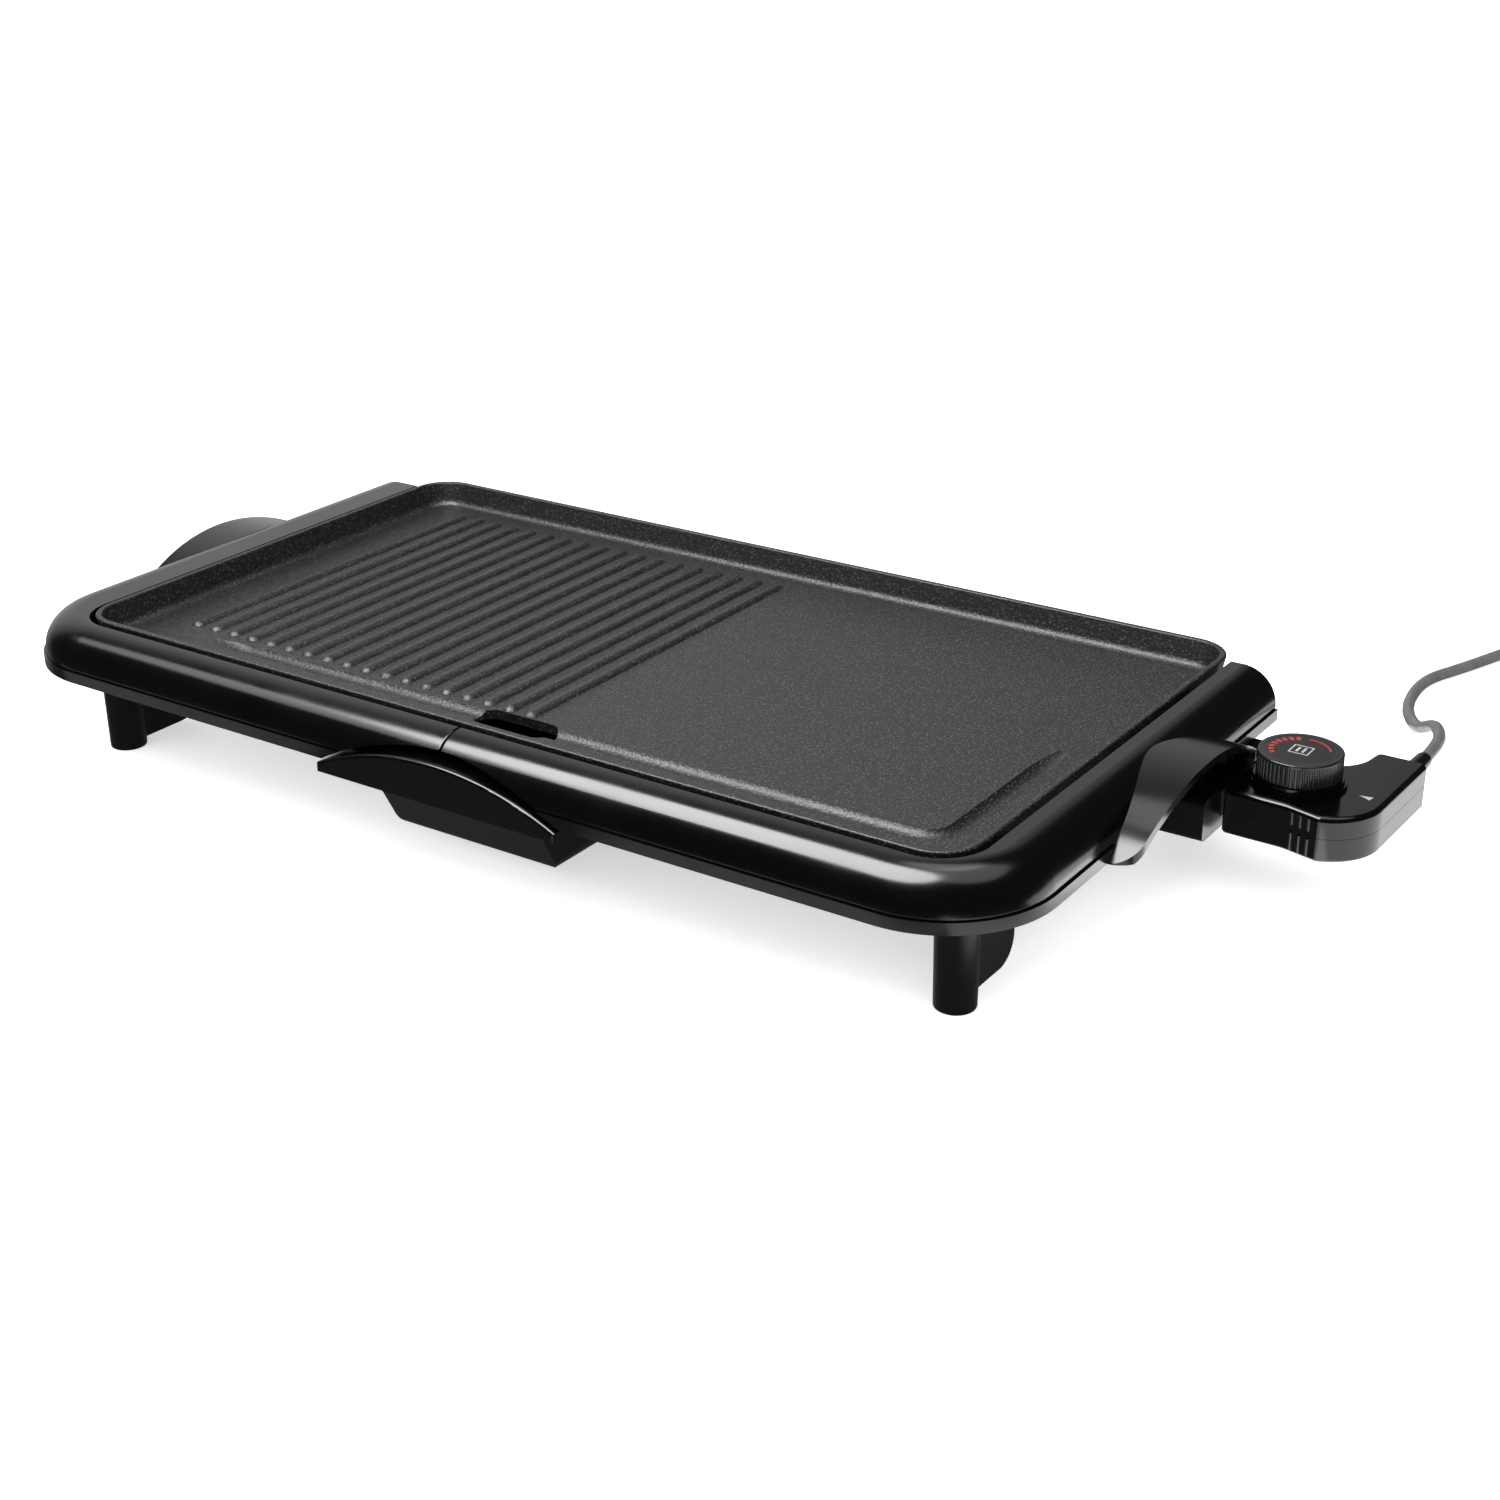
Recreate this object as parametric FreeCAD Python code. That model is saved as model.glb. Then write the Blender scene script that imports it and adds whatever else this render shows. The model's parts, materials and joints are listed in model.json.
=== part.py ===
"""Electric griddle: a die-cast plate in a moulded base, with a drip tray and a plug-in heat control.

Millimetres. +X is the right side, +Y the back, +Z up. Every piece is built about the centre of the
plate, with the table top at z = 0. Before they are written, all pieces are moved together, so that
the origin is the middle of the footprint of the griddle and its control, leaving out the cord.
"""
import FreeCAD
import Part
import math
import os

# ---------------------------------------------------------------- driving dimensions
# Cooking plate
PLATE_LENGTH = 540.0
PLATE_DEPTH = 296.5
RIM_TOP = 80.0
RIM_CORNER = 22.0
RIM_WIDTH = 3.5
WALL_DRAFT = 3.5
FLOOR_TOP = 66.0
FLOOR_UNDER = 61.0
FLOOR_FILLET = 5.0
RIB_COUNT = 18
RIB_PITCH = 13.7
RIB_WIDTH = 7.8
RIB_HEIGHT = 2.1
RIB_FRONT = -97.0
RIB_BACK = 124.0
GUTTER_WIDTH = 11.0
GUTTER_DEPTH = 3.0
GUTTER_Y = -110.5
GUTTER_BACK = 14.0
GUTTER_RIGHT = 241.0
GUTTER_LEFT = -215.0
GUTTER_RUN_OUT = 30.0
SLOT_LENGTH = 49.0
SLOT_WIDTH = 18.0

# Moulded base: a skirt round the front and the two sides, open at the back
RIM_GAP = 3.0
BASE_TOP = 78.7
BASE_HALF_WIDTH = 300.0
LEFT_WIDENING = 9.0
BASE_FRONT = -172.2
BASE_BACK = 129.0
BASE_CORNER = 57.0
BASE_WALL = 2.5
LIP_STEP = 1.3
LIP_TOP = 58.5
LIP_BOTTOM = 52.5
NOSE_RADIUS = 19.0
SEAM_GAP = 0.5
SEAM_ROUND = 0.9
LEDGE_BOTTOM = 54.0
LEDGE_TOP = 57.0

# Handles: one arched strap on each side
HANDLE_REACH = 314.3
HANDLE_TOP = 78.1
HANDLE_MIDDLE = 8.5
HANDLE_HALF_LENGTH = 74.5
HANDLE_ARCH = 122.0
HANDLE_THICKNESS = 4.0
HANDLE_END_ROUND = 14.0
LUG_OFFSET = 46.0

# Legs: a post with a fin
LEG_X = 261.3
FRONT_LEG_Y = -131.3
REAR_LEG_Y = 117.5
POST_FOOT_RADIUS = 9.85
POST_TOP_RADIUS = 10.5
FIN_THICKNESS = 3.5
FRONT_FIN_LENGTH = 51.0
REAR_FIN_LENGTH = 31.5
FIN_CORNER = 13.0
FLANGE_BOTTOM = 51.0
LEG_SCREW_X = 253.5

# Drip tray and the arch in the base that it slides through
FRONT_FACE_Y = -175.0
FRONT_HALF_WIDTH = 74.0
FRONT_BOTTOM = 46.7
FRONT_APEX = 68.0
FRONT_ARCH = 170.0
FRONT_DEPTH = 16.0
ARCH_APEX = 72.0
ARCH_RADIUS = 144.4
TRAY_HALF_WIDTH = 50.5
TRAY_BOTTOM = 12.5
TRAY_RIM = 46.3
TRAY_SHEET = 1.5
TRAY_FLANGE = 57.0
TRAY_FRONT_FOOT = -143.0
TRAY_FRONT_RIM = -161.0
TRAY_BACK = -62.0
RAIL_OUTSIDE = 60.0
RAIL_INSIDE = 52.0
TRAY_SCREW_X = 18.0
TRAY_SCREW_Z = 53.5

# Socket for the control, under the right handle
PIN_HEIGHT = 41.0
PIN_SPACING = 22.0
PIN_RADIUS = 2.4
PIN_ROOT = 262.0
PIN_TIP = 302.0
SOCKET_FACE = 307.5
SOCKET_BACK = 277.0
SOCKET_FRONT_Y = 23.0
SOCKET_REAR_Y = 109.0
SOCKET_BOTTOM = 28.3
SOCKET_TOP = 50.0
SOCKET_SCREW_X = 287.0
HOLDER_BACK = 269.0

# Heat control and knob; its nose carries the sleeves that slide on to the pins
NOSE_TIP = 284.0
NOSE_ROOT = 313.5
NOSE_HALF_WIDTH = 22.0
NOSE_HALF_HEIGHT = 5.8
SLEEVE_RADIUS = 4.2
KNOB_X = 336.4
KNOB_Y = 66.3
KNOB_RADIUS = 20.45
KNOB_TOP = 68.0
KNOB_BOTTOM = 56.3
KNOB_FLUTES = 56
BODY_LEFT = 310.0
BODY_RIGHT = 382.0
BODY_TOP = 52.0
BODY_BOTTOM = 29.0
BODY_WALL = 2.0
SHAFT_RADIUS = 3.0
NECK_X = 371.0
NECK_END = 120.0
SENSOR_RADIUS = 3.5
SENSOR_TIP = 215.0
SHELL_SEAM_GAP = 0.3
FRAME_LEFT = 316.2
FRAME_BOTTOM = 33.0
FRAME_TOP = 46.0
FRAME_SHEET = 1.2
STACK_X = 318.5

# Heating element
ELEMENT_RADIUS = 3.25
ELEMENT_Z = 57.6
ELEMENT_BEND = 25.0
CLAMP_SCREW_OFFSET = 9.0
CLAMP_SHEET = 1.2
CLAMP_GAP = 0.05

# Cord, its put-away coil and its plug
CORD_RADIUS = 3.25
ARC_SHARE = 0.45
RELIEF_END = 147.0
TIE_THICKNESS = 0.8
COIL_OUTER_TURN = 39.25
COIL_TURNS = 2.44
COIL_CLIMB_START = 1.10
TAIL_LENGTH = 36.0
PLUG_LENGTH = 32.0
PLUG_WIDTH = 25.0
PLUG_THICKNESS = 2.0 * (TIE_THICKNESS + 3.0 * CORD_RADIUS)
BLADE_SPACING = 12.7

# The route's points from the strain relief to where the cord joins the coil
CORD_ROUTE = [
    (NECK_X, RELIEF_END, PIN_HEIGHT),
    (NECK_X, 171.0, PIN_HEIGHT),
    (358.5, 211.0, 31.0),
    (344.5, 246.0, 18.5),
    (329.0, 271.0, CORD_RADIUS),
    (316.0, 290.5, CORD_RADIUS),
    (309.3, 317.0, CORD_RADIUS),
    (308.6, 346.0, CORD_RADIUS),
    (320.0, 373.0, CORD_RADIUS),
    (332.0, 407.0, CORD_RADIUS),
    (345.5, 442.5, CORD_RADIUS + TIE_THICKNESS),
]

# Fits
RUNNING_FIT = 0.05
SCREW_FIT = 0.05
MATING_GAP = 0.15


# ---------------------------------------------------------------- general shapes
def vec(x, y, z=0.0):
    return FreeCAD.Vector(x, y, z)


def box(x0, x1, y0, y1, z0, z1):
    return Part.makeBox(x1 - x0, y1 - y0, z1 - z0, vec(x0, y0, z0))


def upright(radius, x, y, z0, z1):
    return Part.makeCylinder(radius, z1 - z0, vec(x, y, z0))


def along_x(radius, x0, x1, y, z):
    return Part.makeCylinder(radius, x1 - x0, vec(x0, y, z), vec(1, 0, 0))


def along_y(radius, y0, y1, x, z):
    return Part.makeCylinder(radius, y1 - y0, vec(x, y0, z), vec(0, 1, 0))


def line(a, b):
    return Part.LineSegment(a, b).toShape()


def arc(a, middle, b):
    return Part.Arc(a, middle, b).toShape()


def prism(wire, height):
    return Part.Face(wire).extrude(vec(0, 0, height))


def rounded_outline(corners, z):
    """A closed level outline: straight sides joined by a tangent arc at each (x, y, radius) corner."""
    edges = []
    arcs = []
    count = len(corners)
    for number, (x, y, radius) in enumerate(corners):
        corner = vec(x, y, z)
        back = vec(*corners[number - 1][:2], z) - corner
        ahead = vec(*corners[(number + 1) % count][:2], z) - corner
        arcs.append(corner_arc(corner, back, ahead, radius))
    for number, (arc_start, middle, arc_end) in enumerate(arcs):
        edges.append(line(arcs[number - 1][2], arc_start))
        edges.append(arc(arc_start, middle, arc_end))
    return Part.Wire(edges)


def corner_arc(corner, back, ahead, radius):
    """The start, middle and end of an arc that rounds a corner between two directions."""
    back = vec(*back).normalize()
    ahead = vec(*ahead).normalize()
    half_turn = (math.pi - back.getAngle(ahead)) / 2.0
    reach = radius * math.tan(half_turn)
    inward = (back + ahead).normalize()
    middle = corner + inward * (radius / math.cos(half_turn) - radius)
    return corner + back * reach, middle, corner + ahead * reach


def rounded_rectangle(half_x, y0, y1, corner, z):
    corners = [(-half_x, y0), (half_x, y0), (half_x, y1), (-half_x, y1)]
    return rounded_outline([(x, y, corner) for x, y in corners], z)


def edges_at(shape, height):
    """The edges that lie wholly in the level plane at a height."""
    found = []
    for edge in shape.Edges:
        bounds = edge.BoundBox
        if abs(bounds.ZMin - height) < 1e-4 and abs(bounds.ZMax - height) < 1e-4:
            found.append(edge)
    return found


def mirrored_x(shape):
    return shape.mirror(vec(0, 0, 0), vec(1, 0, 0))


def screw(seat, axis, length, radius):
    """A pan-head screw with a cross recess; seat is under its head and axis points to its tip."""
    head_radius = 2.0 * radius
    head_height = 1.2 * radius
    slot = 0.3 * radius
    shank = Part.makeCylinder(radius, length)
    head = Part.makeCylinder(head_radius, head_height, vec(0, 0, -head_height))
    body = shank.fuse(head).removeSplitter()
    for long_way, short_way in ((1.2 * radius, slot), (slot, 1.2 * radius)):
        recess = box(-long_way, long_way, -short_way, short_way, -head_height, -0.4 * head_height)
        body = body.cut(recess)
    body.Placement = FreeCAD.Placement(vec(*seat), FreeCAD.Rotation(vec(0, 0, 1), vec(*axis)))
    return body


def smooth_path(points, largest=None):
    """Straight runs joined by tangent arcs, each as large as its two runs or the limit allow."""
    points = [vec(*point) for point in points]
    edges = []
    radii = []
    start = points[0]
    for before, corner, after in zip(points, points[1:], points[2:]):
        back = before - corner
        ahead = after - corner
        half_turn = (math.pi - back.getAngle(ahead)) / 2.0
        radius = ARC_SHARE * min(back.Length, ahead.Length) / math.tan(half_turn)
        if largest:
            radius = min(radius, largest)
        arc_start, middle, arc_end = corner_arc(corner, back, ahead, radius)
        edges.append(line(start, arc_start))
        edges.append(arc(arc_start, middle, arc_end))
        radii.append(radius)
        start = arc_end
    edges.append(line(start, points[-1]))
    return Part.Wire(edges), radii


def tube(points, radius, largest=None):
    """A round bar along a smooth path; it also returns the path's length and its arcs' radii."""
    path, radii = smooth_path(points, largest)
    start = vec(*points[0])
    direction = vec(*points[1]) - start
    profile = Part.Wire(Part.Circle(start, direction, radius).toShape())
    return path.makePipeShell([profile], True, False), path.Length, radii


# ---------------------------------------------------------------- cooking plate
def plate_outline(inset, z):
    half_depth = PLATE_DEPTH / 2.0 - inset
    return rounded_rectangle(PLATE_LENGTH / 2.0 - inset, -half_depth, half_depth, RIM_CORNER - inset, z)


def plate_pan():
    """The flat casting with its sloping wall, before ribs and gutter."""
    outer_rim = plate_outline(0.0, RIM_TOP)
    outer_foot = plate_outline(WALL_DRAFT, FLOOR_UNDER)
    outside = Part.makeLoft([outer_rim, outer_foot], True, True)
    inner_rim = plate_outline(RIM_WIDTH, RIM_TOP)
    inner_foot = plate_outline(RIM_WIDTH + WALL_DRAFT, FLOOR_TOP)
    inside = Part.makeLoft([inner_rim, inner_foot], True, True)
    inside = inside.makeFillet(FLOOR_FILLET, edges_at(inside, FLOOR_TOP))
    return outside.cut(inside)


def plate_ribs():
    """Round-topped ribs over the left half, counted from the middle of the plate."""
    half_width = RIB_WIDTH / 2.0
    radius = (half_width ** 2 + RIB_HEIGHT ** 2) / (2.0 * RIB_HEIGHT)
    axis_z = FLOOR_TOP + RIB_HEIGHT - radius
    above_floor = box(-PLATE_LENGTH, PLATE_LENGTH, -PLATE_DEPTH, PLATE_DEPTH, FLOOR_TOP - 1.0, RIM_TOP)
    ribs = []
    for number in range(RIB_COUNT):
        x = -RIB_PITCH * number
        bar = along_y(radius, RIB_FRONT, RIB_BACK, x, axis_z)
        ends = [Part.makeSphere(radius, vec(x, y, axis_z)) for y in (RIB_FRONT, RIB_BACK)]
        ribs.append(bar.fuse(ends).common(above_floor).removeSplitter())
    return ribs


def plate_gutter():
    """A round-bottomed channel down the right side and along the front, which runs out at both ends."""
    half_width = GUTTER_WIDTH / 2.0
    radius = (half_width ** 2 + GUTTER_DEPTH ** 2) / (2.0 * GUTTER_DEPTH)
    axis_z = FLOOR_TOP - GUTTER_DEPTH + radius
    clear_z = axis_z + GUTTER_DEPTH + 0.5
    points = [
        (GUTTER_RIGHT, GUTTER_BACK, clear_z),
        (GUTTER_RIGHT, GUTTER_BACK - GUTTER_RUN_OUT, axis_z),
        (GUTTER_RIGHT, GUTTER_Y, axis_z),
        (GUTTER_LEFT + GUTTER_RUN_OUT, GUTTER_Y, axis_z),
        (GUTTER_LEFT, GUTTER_Y, clear_z),
    ]
    return tube(points, radius, 18.0)[0]


def drain_slot():
    half_width = SLOT_WIDTH / 2.0
    straight = SLOT_LENGTH / 2.0 - half_width
    z0 = FLOOR_UNDER - 1.0
    z1 = FLOOR_TOP + 1.0
    middle = box(-straight, straight, GUTTER_Y - half_width, GUTTER_Y + half_width, z0, z1)
    ends = [upright(half_width, x, GUTTER_Y, z0, z1) for x in (-straight, straight)]
    return middle.fuse(ends).removeSplitter()


def leg_screw_places():
    """Where the eight leg screws stand: two beside each fin."""
    front = [FRONT_LEG_Y + 21.0, FRONT_LEG_Y + 41.0]
    rear = [REAR_LEG_Y - 27.0, REAR_LEG_Y - 14.0]
    return [(side * LEG_SCREW_X, y) for side in (-1, 1) for y in front + rear]


def guide_screw_places():
    """Two screws through the front ledge and one behind the tray."""
    return [(-40.0, -141.5), (40.0, -141.5), (0.0, -55.0)]


def clamp_places():
    """Where each clamp holds the heating element, and the way from there to its screw."""
    return [
        (-150.0, -75.0, 0, 1), (140.0, -75.0, 0, 1), (-225.0, 10.0, 1, 0),
        (-150.0, 95.0, 0, -1), (0.0, 95.0, 0, -1), (140.0, 95.0, 0, -1),
    ]


def plate_bosses():
    """Bosses under the plate, each with its blind screw hole, and the block that takes the sensor."""
    tops = FLOOR_UNDER + 1.0
    bosses = []
    holes = []
    for x, y in leg_screw_places():
        bosses.append(upright(5.5, x, y, LEDGE_TOP, tops))
        holes.append(upright(2.0 + SCREW_FIT, x, y, LEDGE_TOP - 1.0, FLOOR_TOP - 2.0))
    for x, y in guide_screw_places()[:2]:
        bosses.append(upright(5.5, x, y, LEDGE_TOP, tops))
        holes.append(upright(2.0 + SCREW_FIT, x, y, LEDGE_TOP - 1.0, FLOOR_TOP - 2.0))
    x, y = guide_screw_places()[2]
    bosses.append(upright(5.0, x, y, LEDGE_BOTTOM, tops))
    holes.append(upright(2.0 + SCREW_FIT, x, y, LEDGE_BOTTOM - 1.0, FLOOR_TOP - 2.0))
    for x, y, way_x, way_y in clamp_places():
        x += way_x * CLAMP_SCREW_OFFSET
        y += way_y * CLAMP_SCREW_OFFSET
        bosses.append(upright(4.0, x, y, ELEMENT_Z - ELEMENT_RADIUS, tops))
        holes.append(upright(1.5 + SCREW_FIT, x, y, ELEMENT_Z - ELEMENT_RADIUS - 1.0, FLOOR_UNDER))
    bosses.append(box(205.0, 256.0, KNOB_Y - 6.0, KNOB_Y + 6.0, PIN_HEIGHT - 6.0, tops))
    holes.append(along_x(SENSOR_RADIUS + RUNNING_FIT, 207.0, 257.0, KNOB_Y, PIN_HEIGHT))
    return bosses, holes


def cooking_plate():
    plate = plate_pan()
    plate = plate.makeFillet(1.0, edges_at(plate, RIM_TOP))
    bosses, holes = plate_bosses()
    plate = plate.fuse(plate_ribs() + bosses)
    plate = plate.cut([plate_gutter(), drain_slot()] + holes)
    return plate.removeSplitter()


# ---------------------------------------------------------------- heating element
def element_points():
    pin_offset = PIN_SPACING / 2.0
    near = KNOB_Y - pin_offset
    far = KNOB_Y + pin_offset
    return [
        (PIN_ROOT, near, PIN_HEIGHT), (246.0, near, PIN_HEIGHT), (232.0, near, ELEMENT_Z),
        (208.0, near, ELEMENT_Z), (208.0, -75.0, ELEMENT_Z), (-225.0, -75.0, ELEMENT_Z),
        (-225.0, 95.0, ELEMENT_Z), (190.0, 95.0, ELEMENT_Z), (212.0, far, ELEMENT_Z),
        (232.0, far, ELEMENT_Z), (246.0, far, PIN_HEIGHT), (PIN_ROOT, far, PIN_HEIGHT),
    ]


def heating_element():
    """A bent rod that runs once round under the plate and dips to the pins."""
    return tube(element_points(), ELEMENT_RADIUS, ELEMENT_BEND)[0]


def terminal_pins():
    """Two round-ended pins that the control's sleeves slide on to."""
    pins = []
    for side in (-1, 1):
        y = KNOB_Y + side * PIN_SPACING / 2.0
        pin = along_x(PIN_RADIUS, PIN_ROOT, PIN_TIP, y, PIN_HEIGHT)
        tip = Part.makeSphere(PIN_RADIUS, vec(PIN_TIP, y, PIN_HEIGHT))
        pins.append(pin.fuse(tip).removeSplitter())
    return Part.makeCompound(pins)


def terminal_holder():
    """The ceramic plate that keeps the pins apart where they enter the socket."""
    low = HOLDER_BACK - 1.0
    high = SOCKET_BACK + 1.0
    holder = box(HOLDER_BACK, SOCKET_BACK, KNOB_Y - 19.0, KNOB_Y + 19.0, PIN_HEIGHT - 7.0, PIN_HEIGHT + 7.0)
    for side in (-1, 1):
        y = KNOB_Y + side * PIN_SPACING / 2.0
        holder = holder.cut(along_x(PIN_RADIUS + SCREW_FIT, low, high, y, PIN_HEIGHT))
    return holder.cut(along_x(SENSOR_RADIUS + 0.5, low, high, KNOB_Y, PIN_HEIGHT))


def clamp_top():
    return ELEMENT_Z - ELEMENT_RADIUS - CLAMP_GAP


def element_clamps():
    """Flat bars that press the element against the plate."""
    top = clamp_top()
    clamps = []
    for x, y, way_x, way_y in clamp_places():
        screw_x = x + way_x * CLAMP_SCREW_OFFSET
        screw_y = y + way_y * CLAMP_SCREW_OFFSET
        low_x = min(x - way_x * 5.0, screw_x + way_x * 5.0) - 5.0 * abs(way_y)
        high_x = max(x - way_x * 5.0, screw_x + way_x * 5.0) + 5.0 * abs(way_y)
        low_y = min(y - way_y * 5.0, screw_y + way_y * 5.0) - 5.0 * abs(way_x)
        high_y = max(y - way_y * 5.0, screw_y + way_y * 5.0) + 5.0 * abs(way_x)
        bar = box(low_x, high_x, low_y, high_y, top - CLAMP_SHEET, top)
        clamps.append(bar.cut(upright(1.5 + SCREW_FIT, screw_x, screw_y, top - 2.0, top + 1.0)))
    return Part.makeCompound(clamps)


def clamp_screws():
    seat_z = clamp_top() - CLAMP_SHEET
    screws = []
    for x, y, way_x, way_y in clamp_places():
        seat = (x + way_x * CLAMP_SCREW_OFFSET, y + way_y * CLAMP_SCREW_OFFSET, seat_z)
        screws.append(screw(seat, (0, 0, 1), 7.0, 1.5))
    return Part.makeCompound(screws)


# ---------------------------------------------------------------- base
def skirt_block(inset, top, nose, widening):
    """The base's outer form as a solid block, set in from the lip and rounded over at its top."""
    half_x = BASE_HALF_WIDTH + widening - inset
    front = BASE_FRONT + inset
    back = BASE_BACK + 80.0
    block = prism(rounded_rectangle(half_x, front, back, BASE_CORNER - inset, LIP_BOTTOM), top - LIP_BOTTOM)
    return block.makeFillet(nose, edges_at(block, top))


def well_block(inset):
    """The upright-walled space round the plate, from below the base to above it."""
    half_x = PLATE_LENGTH / 2.0 + RIM_GAP + inset
    front = -PLATE_DEPTH / 2.0 - RIM_GAP - inset
    corner = RIM_CORNER + RIM_GAP + inset
    outline = rounded_rectangle(half_x, front, BASE_BACK + 100.0, corner, LIP_BOTTOM - 10.0)
    return prism(outline, 60.0)


def arch_block(radius, y0, y1):
    return along_y(radius, y0, y1, 0.0, ARCH_APEX - ARCH_RADIUS)


def base_ledges():
    """Ledges under the plate, which the legs and the tray's guide are screwed to."""
    ledges = [
        box(246.0, 280.0, -160.0, FRONT_LEG_Y + FRONT_FIN_LENGTH + 2.0, LEDGE_BOTTOM, LEDGE_TOP),
        box(246.0, 280.0, REAR_LEG_Y - REAR_FIN_LENGTH - 1.5, BASE_BACK, LEDGE_BOTTOM, LEDGE_TOP),
        box(SEAM_GAP / 2.0, 56.0, -160.0, -133.0, LEDGE_BOTTOM, LEDGE_TOP),
    ]
    inside = well_block(0.5)
    return [ledge.common(inside) for ledge in ledges]


def lip_band(inset, height, widening):
    """The upright-sided block that the lip's outside or inside follows."""
    half_x = BASE_HALF_WIDTH + widening - inset
    outline = rounded_rectangle(half_x, BASE_FRONT + inset, 209.0 + inset, BASE_CORNER - inset, LIP_BOTTOM)
    return prism(outline, height)


def seam_edges(half):
    """The outer edges of a half of the base where it meets the other half at the front."""
    found = []
    for edge in half.Edges:
        bounds = edge.BoundBox
        on_seam = abs(bounds.XMin - SEAM_GAP / 2.0) < 1e-4 and abs(bounds.XMax - SEAM_GAP / 2.0) < 1e-4
        if on_seam and bounds.ZMax > BASE_TOP - 0.01 and bounds.YLength > 1e-3:
            found.append(edge)
    return found


def base_half(widening):
    """Half of the base, built on the right; the left half is a wider one and is mirrored."""
    outer = skirt_block(LIP_STEP, BASE_TOP, NOSE_RADIUS, widening)
    inside_lip = LIP_STEP + BASE_WALL
    hollow = skirt_block(inside_lip, BASE_TOP - BASE_WALL, NOSE_RADIUS - BASE_WALL, widening)
    hollow = hollow.cut(well_block(BASE_WALL))
    hollow = hollow.common(box(0.0, 400.0, -200.0, BASE_BACK - BASE_WALL, 0.0, 100.0))
    lip_height = LIP_TOP - LIP_BOTTOM
    lip = lip_band(0.0, lip_height, widening).cut(lip_band(inside_lip, lip_height, widening))
    behind_front = -PLATE_DEPTH / 2.0 - RIM_GAP - BASE_WALL
    visor = arch_block(ARCH_RADIUS + BASE_WALL, BASE_FRONT, behind_front).common(hollow)
    half = outer.cut(hollow).fuse([lip, visor])
    half = half.cut(arch_block(ARCH_RADIUS, BASE_FRONT - 1.0, behind_front))
    half = half.cut(well_block(0.0))
    half = half.common(box(SEAM_GAP / 2.0, 400.0, -200.0, BASE_BACK, 0.0, 100.0))
    half = half.makeFillet(SEAM_ROUND, seam_edges(half))
    half = half.fuse(base_ledges())
    holes = [upright(2.0 + SCREW_FIT, x, y, LEDGE_BOTTOM - 1.0, LEDGE_TOP + 1.0)
             for x, y in leg_screw_places() + guide_screw_places() if x > 1.0]
    outside = BASE_HALF_WIDTH + widening
    holes += [along_x(1.5 + SCREW_FIT, outside - 6.0, outside + 1.0, y, lug_screw_height())
              for y in lug_places()]
    return half.cut(holes).removeSplitter()


def socket_screw_places():
    return [(SOCKET_SCREW_X, SOCKET_FRONT_Y + 8.0), (SOCKET_SCREW_X, SOCKET_REAR_Y - 8.0)]


def base_right():
    """The right half also carries two pillars that the socket hangs from."""
    pillars = [upright(4.5, x, y, SOCKET_TOP, BASE_TOP - 1.0) for x, y in socket_screw_places()]
    holes = [upright(1.75 + SCREW_FIT, x, y, SOCKET_TOP - 1.0, SOCKET_TOP + 13.0)
             for x, y in socket_screw_places()]
    inside = skirt_block(LIP_STEP + 0.5, BASE_TOP - 0.5, NOSE_RADIUS - 0.5, 0.0)
    below = box(200.0, 300.0, 0.0, 120.0, SOCKET_TOP, LIP_BOTTOM)
    pillars = [pillar.common(inside.fuse(below)) for pillar in pillars]
    return base_half(0.0).fuse(pillars).cut(holes).removeSplitter()


# ---------------------------------------------------------------- handles
def lug_places():
    return [HANDLE_MIDDLE - LUG_OFFSET, HANDLE_MIDDLE + LUG_OFFSET]


def lug_screw_height():
    return LIP_TOP + 4.0


def handle_plan(widening):
    """The strap's outline from above: a long shallow curve with rounded ends."""
    half_length = HANDLE_HALF_LENGTH
    reach = HANDLE_REACH + widening
    shoulder_x = reach - 2.1
    root_x = shoulder_x - HANDLE_END_ROUND
    rounding = HANDLE_END_ROUND * math.sqrt(0.5)
    corners = []
    for side in (-1, 1):
        y = HANDLE_MIDDLE + side * (half_length - HANDLE_END_ROUND)
        tip = vec(root_x, HANDLE_MIDDLE + side * half_length)
        middle = vec(root_x + rounding, y + side * rounding)
        corners.append((tip, middle, vec(shoulder_x, y)))
    front, back = corners
    inner_x = PLATE_LENGTH / 2.0 + RIM_GAP + 1.0 + widening
    inner_front = vec(inner_x, front[0].y)
    inner_back = vec(inner_x, back[0].y)
    edges = [
        line(inner_front, front[0]),
        arc(front[0], front[1], front[2]),
        arc(front[2], vec(reach, HANDLE_MIDDLE), back[2]),
        arc(back[2], back[1], back[0]),
        line(back[0], inner_back),
        line(inner_back, inner_front),
    ]
    return Part.Wire(edges)


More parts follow.
